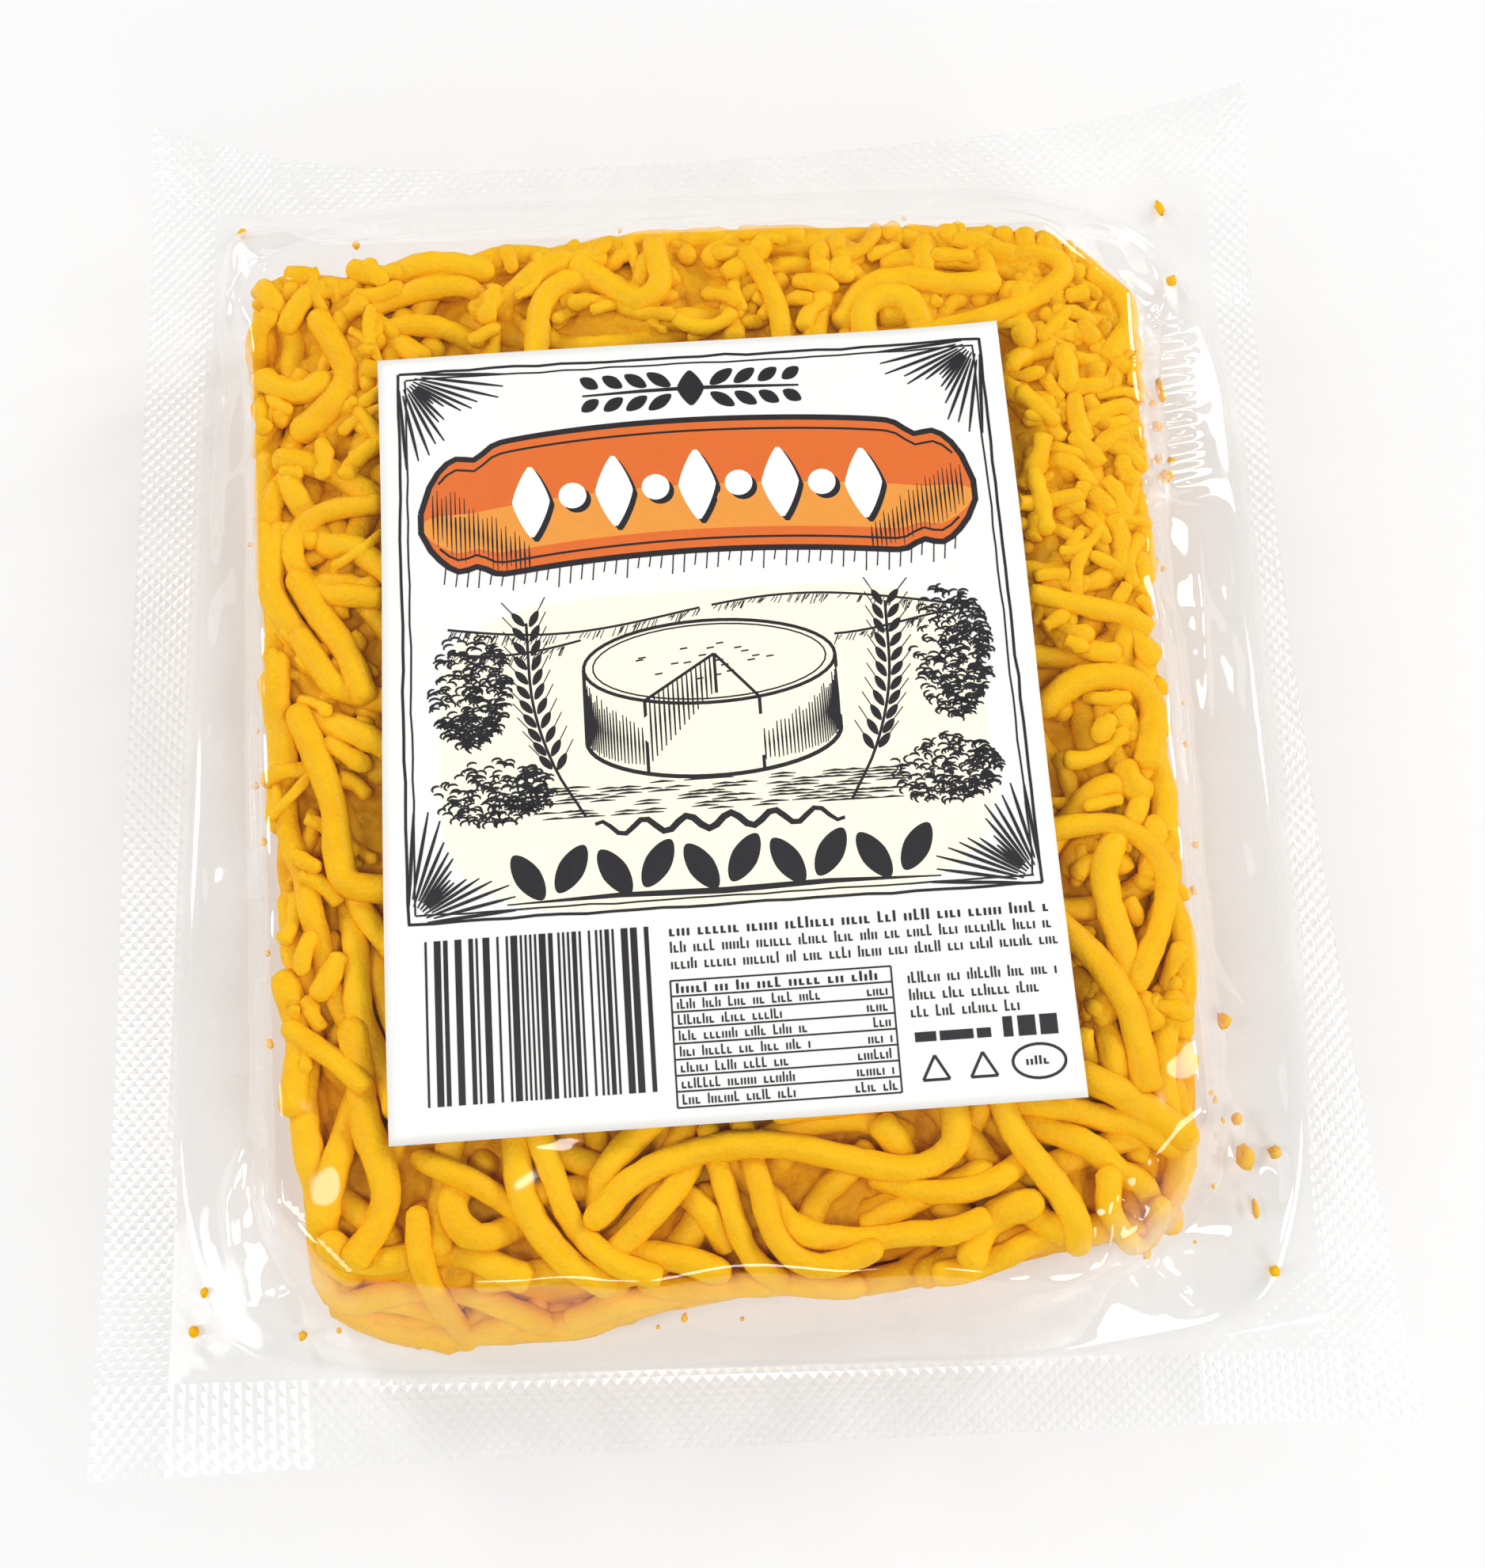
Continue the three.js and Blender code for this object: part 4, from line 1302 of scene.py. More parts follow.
def label_top(across, along):
    """Height of the label's top face over the floor."""
    x, y = to_bag(across, along)
    away = np.hypot(LABEL_HALF[0] - across, LABEL_HALF[1] - along) / PEEL_REACH
    peel = PEEL * np.maximum(1 - away, 0) ** 2
    cockle = 0.06 * smooth_noise(across, along, 9, 21) + 0.12
    film = SEAL_TOP + pocket_height(x, y)
    return film + LABEL_GAP + cockle + peel + PAPER_THICKNESS


def build_label(settings):
    """The sheet of paper: a closed mesh that follows the film, with faintly bowed long edges."""
    rows, columns = 64, 52
    across = np.linspace(-LABEL_HALF[0], LABEL_HALF[0], columns + 1)
    along = np.linspace(-LABEL_HALF[1], LABEL_HALF[1], rows + 1)
    u, v = np.meshgrid(across, along)
    u = u + 0.22 * np.sin(v / 17) * (u / LABEL_HALF[0]) ** 8
    x, y = to_bag(u, v)
    z = label_top(u, v)
    points, faces = closed_sheet(np.dstack([x, y, z]), np.dstack([x, y, z - PAPER_THICKNESS]))
    return make_piece("paper_label", points, faces, [paper(settings)], "label")


def paper(settings):
    """Satin paper with a faint grain."""
    material = fresh_material("Label Paper")
    tree = material.node_tree
    shade = tuple(0.96 * c for c in settings.paper_colour)
    mottle = placed_group(
        tree, mottle_group(),
        Dark=(*shade, 1), Light=(*settings.paper_colour, 1),
        Patch_Scale=90.0, Grain_Scale=3000.0, Grain_Share=0.5,
    )
    bump = add_node(tree, "ShaderNodeBump", {
        "Strength": 0.2, "Distance": 0.00008, "Height": mottle.outputs["Height"],
    })
    body = add_node(tree, "ShaderNodeBsdfPrincipled", {
        "Base Color": mottle.outputs["Color"], "Roughness": 0.5, "Normal": bump.outputs["Normal"],
    })
    add_node(tree, "ShaderNodeOutputMaterial", {"Surface": body.outputs["BSDF"]})
    return material


# ---- the label's print ----

INK_THICKNESS = 0.03


class Print:
    """Printed shapes gathered in the label's own axes: each is a sheet between two lines."""

    def __init__(self, seed):
        self.sheets = []
        self.draw = np.random.default_rng(seed)

    def sheet(self, left, right, ink, layer=0.0, cells=1):
        """A shape between a left and a right line, seen along its run."""
        self.sheets.append((np.array(left, float), np.array(right, float), ink, layer, cells))

    def stroke(self, points, width, ink="ink", layer=0.012, taper=0.0):
        """A drawn line; taper narrows its ends to that share less."""
        line = np.array(points, float)
        heading = unit(np.gradient(line, axis=0))
        aside = np.column_stack([heading[:, 1], -heading[:, 0]])
        share = np.linspace(0, 1, len(line))
        half = width / 2 * (1 - taper * (2 * share - 1) ** 2)
        self.sheet(line - aside * half[:, None], line + aside * half[:, None], ink, layer)

    def bar(self, low, high, ink="ink", layer=0.012, step=6.0):
        """An upright rectangle from corner low to corner high."""
        rows = max(int((high[1] - low[1]) / step), 1)
        y = np.linspace(low[1], high[1], rows + 1)
        self.sheet(
            np.column_stack([np.full_like(y, low[0]), y]),
            np.column_stack([np.full_like(y, high[0]), y]), ink, layer,
        )

    def oval(self, centre, reach, ink="ink", layer=0.012, power=2.0, cells=2, count=16, lean=0.0):
        """A filled oval; a high power makes it a rounded box, a power of 1 a lozenge."""
        x = -np.cos(np.linspace(0.03, np.pi - 0.03, count))
        y = (1 - np.abs(x) ** power) ** (1 / power)
        c, s = math.cos(lean), math.sin(lean)
        edges = []
        for side in (1, -1):
            px, py = x * reach[0], side * y * reach[1]
            edges.append(np.column_stack([centre[0] + px * c - py * s, centre[1] + px * s + py * c]))
        self.sheet(edges[0], edges[1], ink, layer, cells)

    def ring(self, centre, reach, width, start=0.0, end=360.0, count=28, **how):
        """A drawn oval line, or a part of one from start to end in degrees."""
        turn = np.radians(np.linspace(start, end, count))
        points = np.column_stack([
            centre[0] + reach[0] * np.cos(turn), centre[1] + reach[1] * np.sin(turn),
        ])
        self.stroke(points, width, **how)

    def small_print(self, x, end, y, height, weight=0.22):
        """A line of small upright ticks in word-long groups."""
        while x < end:
            for _ in range(self.draw.integers(3, 9)):
                if x + weight > end:
                    break
                rise = height * (1.0 if self.draw.random() < 0.22 else 0.66)
                self.bar((x, y), (x + weight, y + rise))
                if self.draw.random() < 0.45:
                    self.bar((x + weight, y), (x + weight + 0.3, y + 0.2))
                    x += 0.3
                x += weight * 1.9
            x += 0.7

    def scribble(self, centre, reach, count, size):
        """Leafy texture: little arcs, crowded towards the lower right."""
        for _ in range(count):
            turn, far = self.draw.uniform(0, 2 * np.pi), math.sqrt(self.draw.uniform(0, 1))
            x = centre[0] + reach[0] * far * math.cos(turn)
            y = centre[1] + reach[1] * far * math.sin(turn)
            if (x - centre[0]) / reach[0] - (y - centre[1]) / reach[1] < self.draw.uniform(-1.6, 0.6):
                continue
            start = self.draw.uniform(-40, 100)
            self.ring((x, y), (size, size * 0.7), 0.3, start, start + 150, 5, taper=0.5)

    def piece_data(self):
        """All the sheets as closed prisms on the paper: points, faces, and an ink for each face."""
        points, faces, inks = [], [], []
        offset = 0
        for left, right, ink, layer, cells in self.sheets:
            share = np.linspace(0, 1, cells + 1)[None, :, None]
            plan = left[:, None, :] * (1 - share) + right[:, None, :] * share
            u, v = plan[..., 0], plan[..., 1]
            x, y = to_bag(u, v)
            paper_top = label_top(u, v)
            top = np.dstack([x, y, paper_top + INK_THICKNESS + layer])
            low = np.dstack([x, y, paper_top - 0.04])
            some, quads = closed_sheet(top, low)
            points.append(some)
            faces.append(quads + offset)
            inks += [ink] * len(quads)
            offset += len(some)
        return np.vstack(points), np.vstack(faces), inks


def print_frame(sheet):
    """A hand-drawn double line round the picture, with a fan of strokes in each corner."""
    left, right, low, high = -36.4, 36.6, -23.8, 46.3
    for inset, width in ((0.0, 0.34), (0.9, 0.22)):
        corners = (
            (left + inset, low + inset), (right - inset, low + inset),
            (right - inset, high - inset), (left + inset, high - inset),
        )
        for a, b in zip(corners, corners[1:] + corners[:1]):
            share = np.linspace(0, 1, 26)[:, None]
            line = np.array(a) * (1 - share) + np.array(b) * share
            line += sheet.draw.normal(0, 0.07, line.shape)
            sheet.stroke(line, width)
    for x, y, turn in ((left, low, 0), (right, low, 90), (right, high, 180), (left, high, 270)):
        for k in range(15):
            angle = math.radians(turn + 3 + k * 6)
            reach = 6.5 + 6.5 * abs(math.cos(math.radians(2 * (3 + k * 6)))) + sheet.draw.uniform(-1, 1)
            start = 2.2 + 0.8 * (k % 2)
            bend = 0.5 * math.sin(math.radians(4 * (3 + k * 6)))
            way = np.array((math.cos(angle), math.sin(angle)))
            aside = np.array((-math.sin(angle), math.cos(angle)))
            far = np.linspace(start, reach, 5)[:, None]
            sheet.stroke(np.array((x, y)) + far * (way + aside * bend / 8), 0.42, taper=0.6)


def plaque_edges(x):
    """Lower and upper edge of the arched plaque."""
    share = np.clip(np.abs(x) / 34, 0, 1)
    middle = 25.6 + 3.2 * (1 - share**2)
    waist = 1.5 * np.exp(-(((share - 0.80) / 0.05) ** 2))
    half = (8.8 - waist) * (1 - share**14) ** 0.8 + 0.8 * share**14
    return middle - half * (1 - 0.25 * smoothstep(share, 0.8, 1.0)), middle + half


def print_plaque(sheet):
    """The arched orange plaque with a row of pale lozenges, shaded at its ends."""
    x = np.linspace(-33.9, 33.9, 62)
    low, high = plaque_edges(x)
    upper, lower = np.column_stack([x, high]), np.column_stack([x, low])
    sheet.sheet(upper, lower, "band", 0.004, 6)
    glow_high, glow_low = low + 0.5 * (high - low), low + 0.16 * (high - low)
    sheet.sheet(np.column_stack([x, glow_high]), np.column_stack([x, glow_low]), "glow", 0.007, 2)
    outline = np.vstack([upper, lower[::-1], upper[:1]])
    sheet.stroke(outline, 0.75)
    inner_high, inner_low = high - 1.5, low + 1.5
    inside = slice(2, -2)
    sheet.stroke(np.column_stack([x, inner_high])[inside], 0.3)
    sheet.stroke(np.column_stack([x, inner_low])[inside], 0.3)
    for side in (-1, 1):
        for k in range(22):
            at = side * (32.4 - 0.55 * k)
            bottom, top = plaque_edges(np.array(at))
            length = (top - bottom - 3.4) * (1 - k / 30) * sheet.draw.uniform(0.6, 1.0)
            middle = (top + bottom) / 2 - (top - bottom) * 0.02 * k
            line = [(at, middle - length / 2), (at, middle), (at, middle + length / 2)]
            sheet.stroke(line, 0.26, taper=0.7)
    for k in range(46):
        at = -31 + 62 * k / 45
        bottom, _ = plaque_edges(np.array(at))
        drop = sheet.draw.uniform(1.2, 2.6)
        sheet.stroke([(at, bottom - 0.3), (at - 0.25, bottom - 0.3 - drop)], 0.36, taper=0.6)
    for k, at in enumerate(np.linspace(-20.4, 20.4, 9)):
        bottom, top = plaque_edges(np.array(at))
        middle = (bottom + top) / 2
        reach = (2.3, 4.9) if k % 2 == 0 else (1.7, 1.7)
        power = 1.25 if k % 2 == 0 else 2.0
        sheet.oval((at + 0.55, middle - 0.6), reach, "ink", 0.012, power)
        sheet.oval((at, middle), reach, "pale", 0.04, power)


def print_sprig(sheet):
    """A dark sprig of leaves at the head of the label."""
    sheet.stroke([(-13.5, 41.6), (-6, 41.9), (0, 42.0), (6, 41.9), (13.5, 41.6)], 0.5, taper=0.5)
    sheet.oval((0, 42), (1.7, 2.5), power=1.3)
    for side in (-1, 1):
        for k in range(4):
            at = side * (3.9 + 2.9 * k)
            for above in (-1, 1):
                centre = (at, 41.8 + above * 1.55)
                sheet.oval(centre, (1.75 - 0.15 * k, 0.8), power=1.6, lean=side * above * 0.6)


def print_wheel(sheet):
    """A wheel of cheese with a slice cut out of it, on a board, all in drawn lines."""
    rx, ry, x0, y0, height = 15.0, 5.2, 0.0, 5.6, 9.0
    sheet.ring((x0, y0), (rx, ry), 0.42, count=48)
    sheet.ring((x0, y0), (rx - 1.1, ry - 0.5), 0.2, count=40)
    sheet.ring((x0, y0 - height), (rx, ry), 0.5, 180, 360, 26)
    for side in (-1, 1):
        sheet.stroke([(side * rx, y0), (side * rx, y0 - height)], 0.42)
    cut = (math.radians(238), math.radians(292))
    rims = [np.array((x0 + rx * math.cos(a), y0 + ry * math.sin(a))) for a in cut]
    tip = np.array((x0 + 0.6, y0 + 0.9))
    for rim in rims:
        sheet.stroke([tip, (tip + rim) / 2, rim], 0.36)
        sheet.stroke([rim, rim - (0, height)], 0.4)
    sheet.stroke([tip, tip - (0, height * 0.55)], 0.36)
    for k in range(1, 15):
        share = k / 15
        top = tip * (1 - share) + rims[0] * share
        drop = height * (0.5 + 0.4 * share)
        sheet.stroke([top, top - (0, drop / 2), top - (0, drop)], 0.26, taper=0.4)
    for k in range(80):
        turn = math.radians(183 + 174 * k / 79)
        if cut[0] < turn < cut[1]:
            continue
        dark = 0.35 + 0.65 * abs(math.cos(turn)) ** 1.5
        top = np.array((x0 + rx * math.cos(turn), y0 + ry * math.sin(turn) - 0.5))
        drop = (height - 0.8) * dark * sheet.draw.uniform(0.75, 1)
        start = top - (0, (height - 0.8 - drop) * 0.8)
        sheet.stroke([start, start - (0, drop / 2), start - (0, drop)], 0.24, taper=0.5)
    for _ in range(26):
        x, y = sheet.draw.uniform(-10, 10), sheet.draw.uniform(-2.6, 3.2)
        if abs(x) / 11 + abs(y) / 4 < 1:
            sheet.stroke([(x0 + x, y0 + y), (x0 + x + 0.9, y0 + y + 0.1)], 0.2)
    for k in range(150):
        y = -8.9 - 0.36 * (k % 11)
        x = sheet.draw.uniform(-22, 20)
        sheet.stroke([(x, y), (x + 1.5, y + 0.1), (x + 3, y)], 0.28, taper=0.7)


def print_wheat(sheet):
    """An ear of wheat on either side."""
    for side in (-1, 1):
        bends = ((15.5, -12.5), (19, -6), (21.2, 2), (21.6, 12))
        stem = smooth_path([(side * x, y) for x, y in bends], 1.9)
        sheet.stroke(stem, 0.34)
        for x, y in stem[4:]:
            for way in (-1, 1):
                lean = math.radians(90 - way * 34 - side * 6)
                centre = (x + way * 0.95, y + 0.5)
                sheet.oval(centre, (1.15, 0.48), power=1.6, lean=lean)
                end = (centre[0] + 3.0 * math.cos(lean), centre[1] + 3.0 * math.sin(lean))
                sheet.stroke([centre, end], 0.13)


def print_hills(sheet):
    """Hills, trees and a hedge behind."""
    for base, swell, start, phase in ((12.0, 1.6, 0.11, 0.4), (9.4, 1.3, 0.16, 2.4)):
        x = np.linspace(-31, 31, 44)
        y = base + swell * np.sin(x * start + phase)
        nearer = base < 11  # the nearer hills are hidden behind the wheel
        keep = np.abs(x) > (14.0 if nearer else -1.0)
        for half in (keep & (x < 0), keep & (x >= 0)):
            sheet.stroke(np.column_stack([x, y])[half], 0.3)
        for _ in range(150):
            at = sheet.draw.uniform(-31, 31)
            top = base + swell * math.sin(at * start + phase)
            if abs(at) > 15.5 or not nearer:
                drop = sheet.draw.uniform(0.5, 1.5)
                sheet.stroke([(at, top - 0.2), (at - 0.5, top - drop)], 0.22, taper=0.5)
    sheet.scribble((-28.5, 4.0), (4.6, 7.5), 520, 0.7)
    sheet.scribble((29.0, 5.0), (4.6, 8.5), 560, 0.7)
    sheet.scribble((-26.0, -9.0), (7.0, 4.0), 420, 0.65)
    sheet.scribble((27.0, -9.5), (6.5, 4.2), 420, 0.65)


def print_flourishes(sheet):
    """Dark flourishes under the picture: a wave, a row of leaves and a line."""
    x = np.linspace(-14.5, 14.5, 34)
    sheet.stroke(np.column_stack([x, -14.0 + 0.85 * np.sin(x * 1.25)]), 0.85, taper=0.5)
    for k, at in enumerate(np.linspace(-22.5, 22.5, 10)):
        rise = 0.35 if k % 2 else -0.35
        sheet.oval((at, -18.9 + rise), (1.55, 3.2), power=1.7, lean=-0.55 if k % 2 else 0.55)
    sheet.stroke([(-25, -22.3), (-12, -22.0), (0, -22.25), (12, -21.95), (25, -22.2)], 0.75, taper=0.8)


def print_stripes(sheet):
    """Plain upright stripes of uneven width at the lower left."""
    x, end = -34.6, -8.9
    while x < end:
        width = sheet.draw.choice((0.26, 0.26, 0.52, 0.78))
        sheet.bar((x, -44.6), (x + width, -25.9))
        x += width + sheet.draw.choice((0.28, 0.28, 0.55, 0.8))


def print_table(sheet):
    """A ruled table of small ticks, and lines of small print."""
    left, right, top, pitch, rows = -6.9, 18.2, -32.3, 1.78, 8
    bottom = top - pitch * rows
    for k in range(rows + 1):
        y = top - k * pitch
        sheet.stroke(np.column_stack([np.linspace(left, right, 8), np.full(8, y)]), 0.2)
        if k < rows:
            heavy = 0.3 if k == 0 else 0.2
            end = left + (23.5 if k == 0 else sheet.draw.uniform(8, 17))
            sheet.small_print(left + 0.6, end, y - pitch + 0.32, 1.15, heavy)
            if k:
                start = right - sheet.draw.uniform(2.5, 5.5)
                sheet.small_print(start, right - 0.5, y - pitch + 0.32, 1.15, 0.2)
    for x in (left, right):
        sheet.bar((x - 0.1, bottom), (x + 0.1, top))
    for k in range(3):
        sheet.small_print(-6.7, 37.2, -27.2 - 1.9 * k, 1.3, 0.3 if k == 0 else 0.22)
    for k in range(3):
        sheet.small_print(20.0, 37.4 - 2.5 * k, -34.4 - 1.95 * k, 1.3, 0.22)
    for x, width in ((20.2, 2.4), (23.0, 3.8), (27.2, 1.6)):
        sheet.bar((x, -41.1), (x + width, -40.0))
    for x, width in ((30.2, 1.1), (31.9, 2.0), (34.4, 2.0)):
        sheet.bar((x, -41.2), (x + width, -38.9))
    for x in (22.2, 27.6):
        triangle = [(x - 1.5, -45.4), (x, -42.7), (x + 1.5, -45.4)]
        for a, b in zip(triangle, triangle[1:] + triangle[:1]):
            sheet.stroke([a, b], 0.32)
    sheet.ring((33.9, -44.1), (3.0, 1.9), 0.32)
    sheet.small_print(32.4, 35.4, -44.5, 1.0, 0.26)


def build_print(settings):
    """All that is printed on the label, one piece with a material for each ink."""
    sheet = Print(31)
    sheet.oval((0, -4.6), (32.4, 19.4), "field", 0.0, power=4.0, cells=16, count=34)
    print_frame(sheet)
    print_hills(sheet)
    print_wheel(sheet)
    print_wheat(sheet)
    print_plaque(sheet)
    print_sprig(sheet)
    print_flourishes(sheet)
    print_stripes(sheet)
    print_table(sheet)
    points, faces, inks = sheet.piece_data()
    colours = {
        "ink": settings.ink_colour,
        "band": settings.band_colour,
        "glow": settings.glow_colour,
        "field": settings.field_colour,
        "pale": settings.paper_colour,
    }
    materials = [printed_ink("Printed " + ink.title(), colour) for ink, colour in colours.items()]
    piece = make_piece("label_print", points, faces, materials, "label", smooth=False)
    order = list(colours)
    piece.data.polygons.foreach_set("material_index", [order.index(ink) for ink in inks])
    return piece


def printed_ink(name, colour):
    """Flat ink, hardly mottled."""
    material = fresh_material(name)
    tree = material.node_tree
    lighter = tuple(min(c * 1.06 + 0.006, 1) for c in colour)
    mottle = placed_group(
        tree, mottle_group(),
        Dark=(*colour, 1), Light=(*lighter, 1),
        Patch_Scale=500.0, Grain_Scale=4000.0, Grain_Share=0.6,
    )
    body = add_node(tree, "ShaderNodeBsdfPrincipled", {
        "Base Color": mottle.outputs["Color"], "Roughness": 0.42,
    })
    add_node(tree, "ShaderNodeOutputMaterial", {"Surface": body.outputs["BSDF"]})
    return material


# ---- the crumbs ----

# Crumbs caught under the film: place, width and length.
CRUMBS = (
    (57.3, -42.3, 1.7, 2.0), (57.5, -53.7, 1.5, 1.6), (58.3, -58.0, 2.2, 3.0), (62.6, -57.5, 1.5, 1.6),
    (59.2, -64.0, 0.9, 2.4), (60.9, -71.1, 1.2, 1.4), (-52.1, -73.2, 1.0, 1.1), (-63.7, -67.9, 0.9, 1.2),
    (-64.7, -72.2, 1.2, 1.3), (63.0, 71.0, 1.1, 2.4), (56.5, 58.0, 1.0, 1.2), (63.3, 59.5, 1.4, 1.6),
    (59.4, 41.8, 1.2, 3.6), (57.7, 39.2, 1.0, 1.2), (58.3, 36.6, 1.4, 1.5), (57.6, 31.4, 1.1, 1.3),
    (59.7, 31.8, 1.0, 1.1), (58.7, 29.5, 1.8, 1.8), (-63.6, 72.0, 1.3, 1.5), (-46.2, 64.0, 1.0, 1.3),
    (-54.7, 5.5, 1.5, 2.6),
)


GRAIN_RINGS = 6
GRAIN_SIDES = 9


def grain_points(centre, reach, turn, draw):
    """Points of a lumpy closed grain: its rings and its two tips."""
    rise = np.linspace(-1, 1, GRAIN_RINGS + 2)[1:-1] * np.pi / 2
    angle = np.linspace(0, 2 * np.pi, GRAIN_SIDES, endpoint=False)
    c, s = math.cos(turn), math.sin(turn)
    bumps = draw.normal(1, 0.12, (GRAIN_RINGS, GRAIN_SIDES))
    x = np.cos(rise)[:, None] * np.cos(angle) * bumps * reach[0]
    y = np.cos(rise)[:, None] * np.sin(angle) * bumps * reach[1]
    z = np.sin(rise)[:, None] * bumps * reach[2]
    points = np.dstack([x * c - y * s, x * s + y * c, z]).reshape(-1, 3)
    return np.vstack([points, [(0, 0, -reach[2]), (0, 0, reach[2])]]) + centre


def build_crumbs(settings):
    """The crumbs seen round the filling, and smaller grains strewn close to it."""
    draw = np.random.default_rng(settings.seed + 1)
    grains = list(CRUMBS)
    while len(grains) < len(CRUMBS) + settings.crumb_count:
        x, y = draw.uniform(-62, 62), draw.uniform(-76, 68)
        if -3.0 < reach_inside(x, y) < -0.2 and wall_fraction(np.array(x), np.array(y)) < 0.85:
            size = draw.uniform(0.4, 0.9)
            grains.append((x, y, size, size * draw.uniform(1, 1.6)))
    points, faces, tones = [], [], []
    offset = 0
    for x, y, width, length in grains:
        half = width / 2
        highest = float(ceiling(np.array([x]), np.array([y]), half)[0])
        height = max(highest + 0.1, BASE_FILM + half)
        some = grain_points(
            np.array((x, y, height)), (half, length / 2, half * 0.8), draw.uniform(-0.4, 0.4), draw,
        )
        points.append(some)
        faces += ring_faces(len(some), GRAIN_SIDES, offset)
        tones.append(np.full(len(some), draw.uniform(0.2, 1)))
        offset += len(some)
    return make_piece(
        "cheese_crumbs", np.vstack(points), faces, [cheese(settings)], "bag",
        values={"tone": np.concatenate(tones)},
    )


# ---- the stage ----

# The camera's place in millimetres and its axes, as the photograph was taken; other lengths of the
# stage are in metres.
CAMERA_PLACE = (-3.0, -69.4, 214.5)
CAMERA_RIGHT = (0.99895, -0.04518, 0.00807)
CAMERA_UP = (0.04130, 0.96163, 0.27121)
CAMERA_LENS = 40.53
LIGHT_DISTANCE = 0.9
FLOOR_HALF = 1.5

# Soft boxes: direction they stand in (degrees round from +X, degrees up), width, height, share.
SOFT_BOXES = (
    ("left_key", 196, 56, 0.28, 0.28, 0.40),
    ("right_key", 344, 56, 0.26, 0.26, 0.42),
    ("front_key", 268, 70, 0.26, 0.26, 0.54),
    ("left_strip", 166, 26, 0.10, 0.40, 0.42),
    ("front_left_strip", 196, 24, 0.14, 0.40, 0.55),
    ("front_right_strip", 296, 25, 0.26, 0.46, 0.70),
    ("right_edge_strip", 345, 26, 0.09, 0.36, 0.32),
    ("right_strip", 16, 24, 0.08, 0.38, 0.34),
    ("back_right_strip", 33, 22, 0.18, 0.38, 0.72),
    ("back_edge_strip", 58, 24, 0.08, 0.34, 0.24),
    ("back_left_strip", 126, 26, 0.20, 0.40, 0.80),
)


def build_stage(settings):
    """Camera, dim light from all round, soft boxes and floor."""
    scene = bpy.context.scene
    camera_data = bpy.data.cameras.new("camera")
    camera_data.lens = CAMERA_LENS
    camera = bpy.data.objects.new("camera", camera_data)
    right, up = Vector(CAMERA_RIGHT).normalized(), Vector(CAMERA_UP).normalized()
    back = right.cross(up).normalized()
    up = back.cross(right)
    camera.matrix_world = Matrix.Translation(Vector(CAMERA_PLACE) * MM) @ Matrix(
        (right, up, back)
    ).transposed().to_4x4()
    scene.collection.objects.link(camera)
    scene.camera = camera
    scene.view_settings.view_transform = "Standard"
    scene.view_settings.look = "None"

    world = bpy.data.worlds.new("studio")
    world.use_nodes = True
    background = world.node_tree.nodes["Background"]
    background.inputs["Color"].default_value = (1.0, 1.0, 1.0, 1)
    background.inputs["Strength"].default_value = settings.ambient
    scene.world = world

    for name, around, height, width, tall, share in SOFT_BOXES:
        data = bpy.data.lights.new(name, "AREA")
        data.shape = "ELLIPSE"
        data.size = width
        data.size_y = tall
        data.energy = settings.light_power * share
        light = bpy.data.objects.new(name, data)
        turn, lift = math.radians(around), math.radians(height)
        level = math.cos(lift)
        way = Vector((math.cos(turn) * level, math.sin(turn) * level, math.sin(lift)))
        light.location = way * LIGHT_DISTANCE
        light.rotation_euler = way.to_track_quat("Z", "Y").to_euler()
        scene.collection.objects.link(light)

    corners = [(x * FLOOR_HALF, y * FLOOR_HALF, 0) for x, y in ((-1, -1), (1, -1), (1, 1), (-1, 1))]
    mesh = bpy.data.meshes.new("floor")
    mesh.from_pydata(corners, [], [(0, 1, 2, 3)])
    mesh.materials.append(floor_material(settings))
    floor = bpy.data.objects.new("floor", mesh)
    scene.collection.objects.link(floor)


def floor_material(settings):
    """A matt pale floor, hardly mottled."""
    material = fresh_material("Pale Floor")
    tree = material.node_tree
    shade = tuple(0.985 * c for c in settings.floor_colour)
    mottle = placed_group(
        tree, mottle_group(),
        Dark=(*shade, 1), Light=(*settings.floor_colour, 1),
        Patch_Scale=8.0, Grain_Scale=400.0, Grain_Share=0.2,
    )
    body = add_node(tree, "ShaderNodeBsdfPrincipled", {
        "Base Color": mottle.outputs["Color"], "Roughness": 0.8, "Specular IOR Level": 0.2,
    })
    add_node(tree, "ShaderNodeOutputMaterial", {"Surface": body.outputs["BSDF"]})
    return material


# ---- settings ----


def colour_property(name, description, default):
    return FloatVectorProperty(
        name=name, description=description, default=default, size=3, min=0, max=1, subtype="COLOR",
    )


class FilmSettings(bpy.types.PropertyGroup):
    film_colour: colour_property(
        "Film Colour", "Colour of the film where it is milky", (0.92, 0.93, 0.93),
    )
    film_mirror: FloatProperty(
        name="Mirror", description="How much the film mirrors face on", default=0.05, min=0, max=1,
    )
    wrinkle_strength: FloatProperty(
        name="Wrinkles", description="Strength of the film's finest wrinkles",
        default=0.35, min=0, max=1,
    )


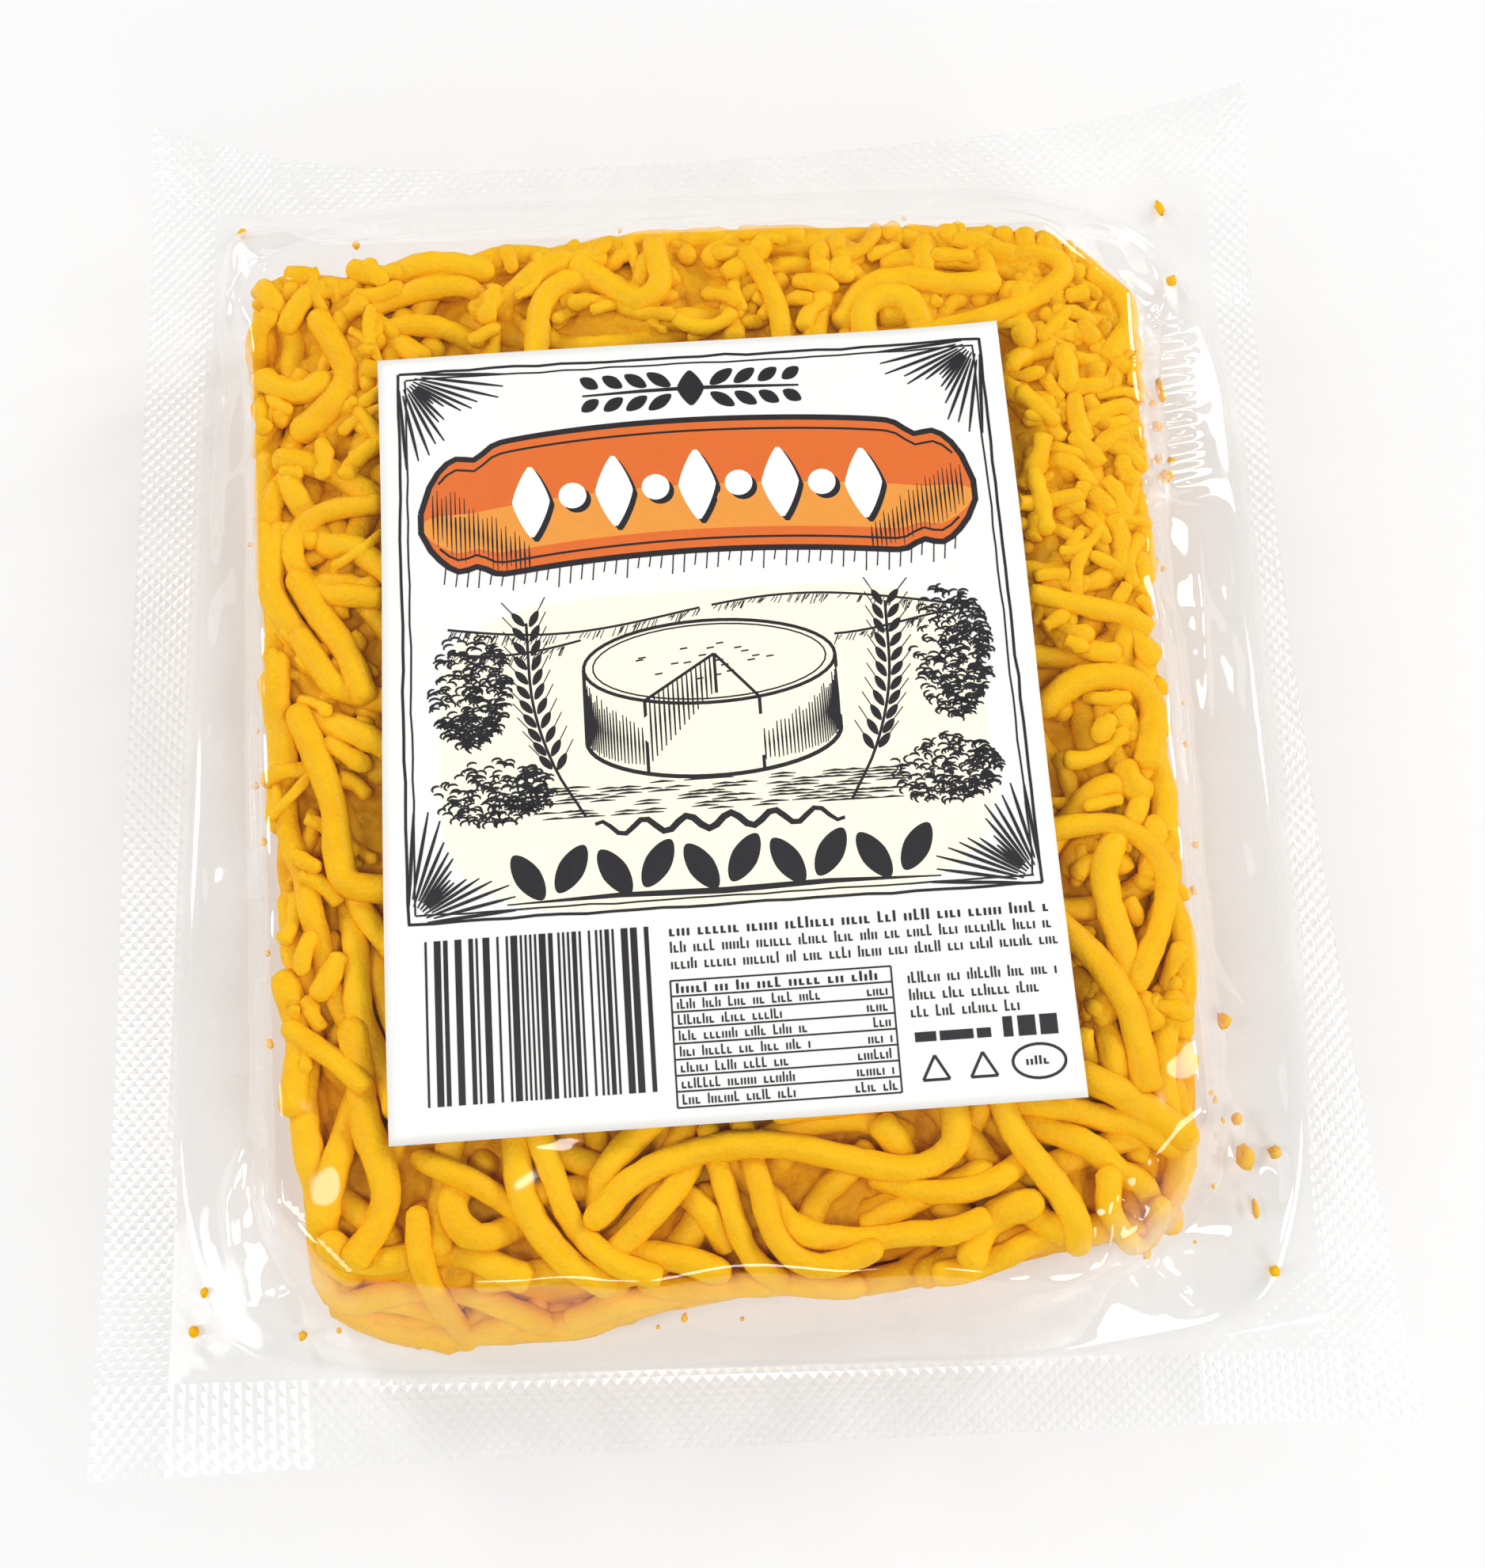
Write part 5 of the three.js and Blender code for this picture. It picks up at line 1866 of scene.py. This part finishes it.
class CheeseSettings(bpy.types.PropertyGroup):
    shred_diameter: FloatProperty(
        name="Shred Diameter", description="Thickness of a shred", default=3.2 * MM, unit="LENGTH",
    )
    buried_count: IntProperty(
        name="Buried Shreds", description="Shreds in the heap under the top ones", default=130, min=20,
    )
    filler_count: IntProperty(
        name="Filling Shreds", description="Shreds just under the top ones", default=225, min=0,
    )
    crumb_count: IntProperty(
        name="Small Crumbs", description="Loose grains beside the filling", default=26, min=0,
    )
    bit_count: IntProperty(
        name="Broken Bits", description="Short bits in the crumbly parts", default=600, min=0,
    )
    seed: IntProperty(name="Seed", description="Chooses another lie of the shreds", default=7)
    cheese_dark: colour_property("Dark Colour", "Darkest yellow of the cheese", (0.87, 0.42, 0.001))
    cheese_light: colour_property("Colour", "Usual yellow of the cheese", (0.94, 0.52, 0.002))
    cheese_pale: colour_property("Pale Colour", "Yellow of the palest shreds", (0.97, 0.60, 0.010))
    # Painted shade: the darker amber that the gaps between the shreds are painted with.
    cheese_gap_shade: colour_property(
        "Deep Colour", "Amber of the gaps between the shreds", (0.82, 0.33, 0.0005),
    )


class LabelSettings(bpy.types.PropertyGroup):
    paper_colour: colour_property("Paper", "White of the label's paper", (0.93, 0.92, 0.89))
    field_colour: colour_property("Field", "Cream field behind the picture", (0.96, 0.92, 0.74))
    ink_colour: colour_property("Ink", "Near-black ink", (0.018, 0.016, 0.020))
    band_colour: colour_property("Band", "Orange of the plaque", (0.72, 0.15, 0.025))
    glow_colour: colour_property("Band Glow", "Lighter orange of the plaque", (0.80, 0.31, 0.05))


class StageSettings(bpy.types.PropertyGroup):
    floor_colour: colour_property("Floor", "Colour of the pale floor", (0.84, 0.84, 0.84))
    ambient: FloatProperty(name="Ambient", description="Light from all round", default=0.07, min=0)
    light_power: FloatProperty(
        name="Light Power", description="Power that the soft boxes have shares of",
        default=3.1, min=0, unit="POWER",
    )


# ---- operators ----


class CHEDDAR_OT_stage(bpy.types.Operator):
    """Place the camera, the soft light and the pale floor"""

    bl_idname = "cheddar.stage"
    bl_label = "Stage"

    def execute(self, context):
        build_stage(context.scene.cheddar_stage)
        return {"FINISHED"}


class CHEDDAR_OT_film(bpy.types.Operator):
    """Make the clear film bag with its pressed seal"""

    bl_idname = "cheddar.film"
    bl_label = "Film Bag"

    def execute(self, context):
        build_film(context.scene.cheddar_film)
        return {"FINISHED"}


class CHEDDAR_OT_shreds(bpy.types.Operator):
    """Fill the bag with shreds of cheese and their broken bits"""

    bl_idname = "cheddar.shreds"
    bl_label = "Cheese Shreds"

    def execute(self, context):
        build_shreds(context.scene.cheddar_cheese)
        return {"FINISHED"}


class CHEDDAR_OT_heap(bpy.types.Operator):
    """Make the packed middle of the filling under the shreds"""

    bl_idname = "cheddar.heap"
    bl_label = "Packed Middle"

    def execute(self, context):
        build_heap(context.scene.cheddar_cheese)
        return {"FINISHED"}


class CHEDDAR_OT_label(bpy.types.Operator):
    """Stick the paper label on the film"""

    bl_idname = "cheddar.label"
    bl_label = "Paper Label"

    def execute(self, context):
        build_label(context.scene.cheddar_label)
        return {"FINISHED"}


class CHEDDAR_OT_print(bpy.types.Operator):
    """Print the label: frame, plaque, picture, stripes and small print"""

    bl_idname = "cheddar.label_print"
    bl_label = "Label Print"

    def execute(self, context):
        build_print(context.scene.cheddar_label)
        return {"FINISHED"}


class CHEDDAR_OT_crumbs(bpy.types.Operator):
    """Scatter the crumbs caught under the film"""

    bl_idname = "cheddar.crumbs"
    bl_label = "Cheese Crumbs"

    def execute(self, context):
        build_crumbs(context.scene.cheddar_cheese)
        return {"FINISHED"}


class CHEDDAR_PT_panel(bpy.types.Panel):
    bl_label = "Cheddar Bag"
    bl_idname = "CHEDDAR_PT_panel"
    bl_space_type = "VIEW_3D"
    bl_region_type = "UI"
    bl_category = "Cheddar Bag"

    def draw(self, context):
        layout = self.layout
        groups = (
            (context.scene.cheddar_film, (CHEDDAR_OT_film,)),
            (context.scene.cheddar_cheese, (CHEDDAR_OT_heap, CHEDDAR_OT_shreds, CHEDDAR_OT_crumbs)),
            (context.scene.cheddar_label, (CHEDDAR_OT_label, CHEDDAR_OT_print)),
            (context.scene.cheddar_stage, (CHEDDAR_OT_stage,)),
        )
        for settings, operators in groups:
            box = layout.box()
            for name in settings.__annotations__:
                box.prop(settings, name)
            for operator in operators:
                box.operator(operator.bl_idname)


OPERATORS = (
    CHEDDAR_OT_stage, CHEDDAR_OT_film, CHEDDAR_OT_heap, CHEDDAR_OT_shreds, CHEDDAR_OT_crumbs,
    CHEDDAR_OT_label, CHEDDAR_OT_print,
)
SETTINGS = {
    "cheddar_film": FilmSettings,
    "cheddar_cheese": CheeseSettings,
    "cheddar_label": LabelSettings,
    "cheddar_stage": StageSettings,
}
CLASSES = (*SETTINGS.values(), *OPERATORS, CHEDDAR_PT_panel)


def register():
    for cls in CLASSES:
        bpy.utils.register_class(cls)
    for name, group in SETTINGS.items():
        setattr(bpy.types.Scene, name, PointerProperty(type=group))


def unregister():
    for name in SETTINGS:
        delattr(bpy.types.Scene, name)
    for cls in reversed(CLASSES):
        bpy.utils.unregister_class(cls)


def main():
    register()
    for operator in OPERATORS:
        group, action = operator.bl_idname.split(".")
        getattr(getattr(bpy.ops, group), action)()


if __name__ == "__main__":
    main()
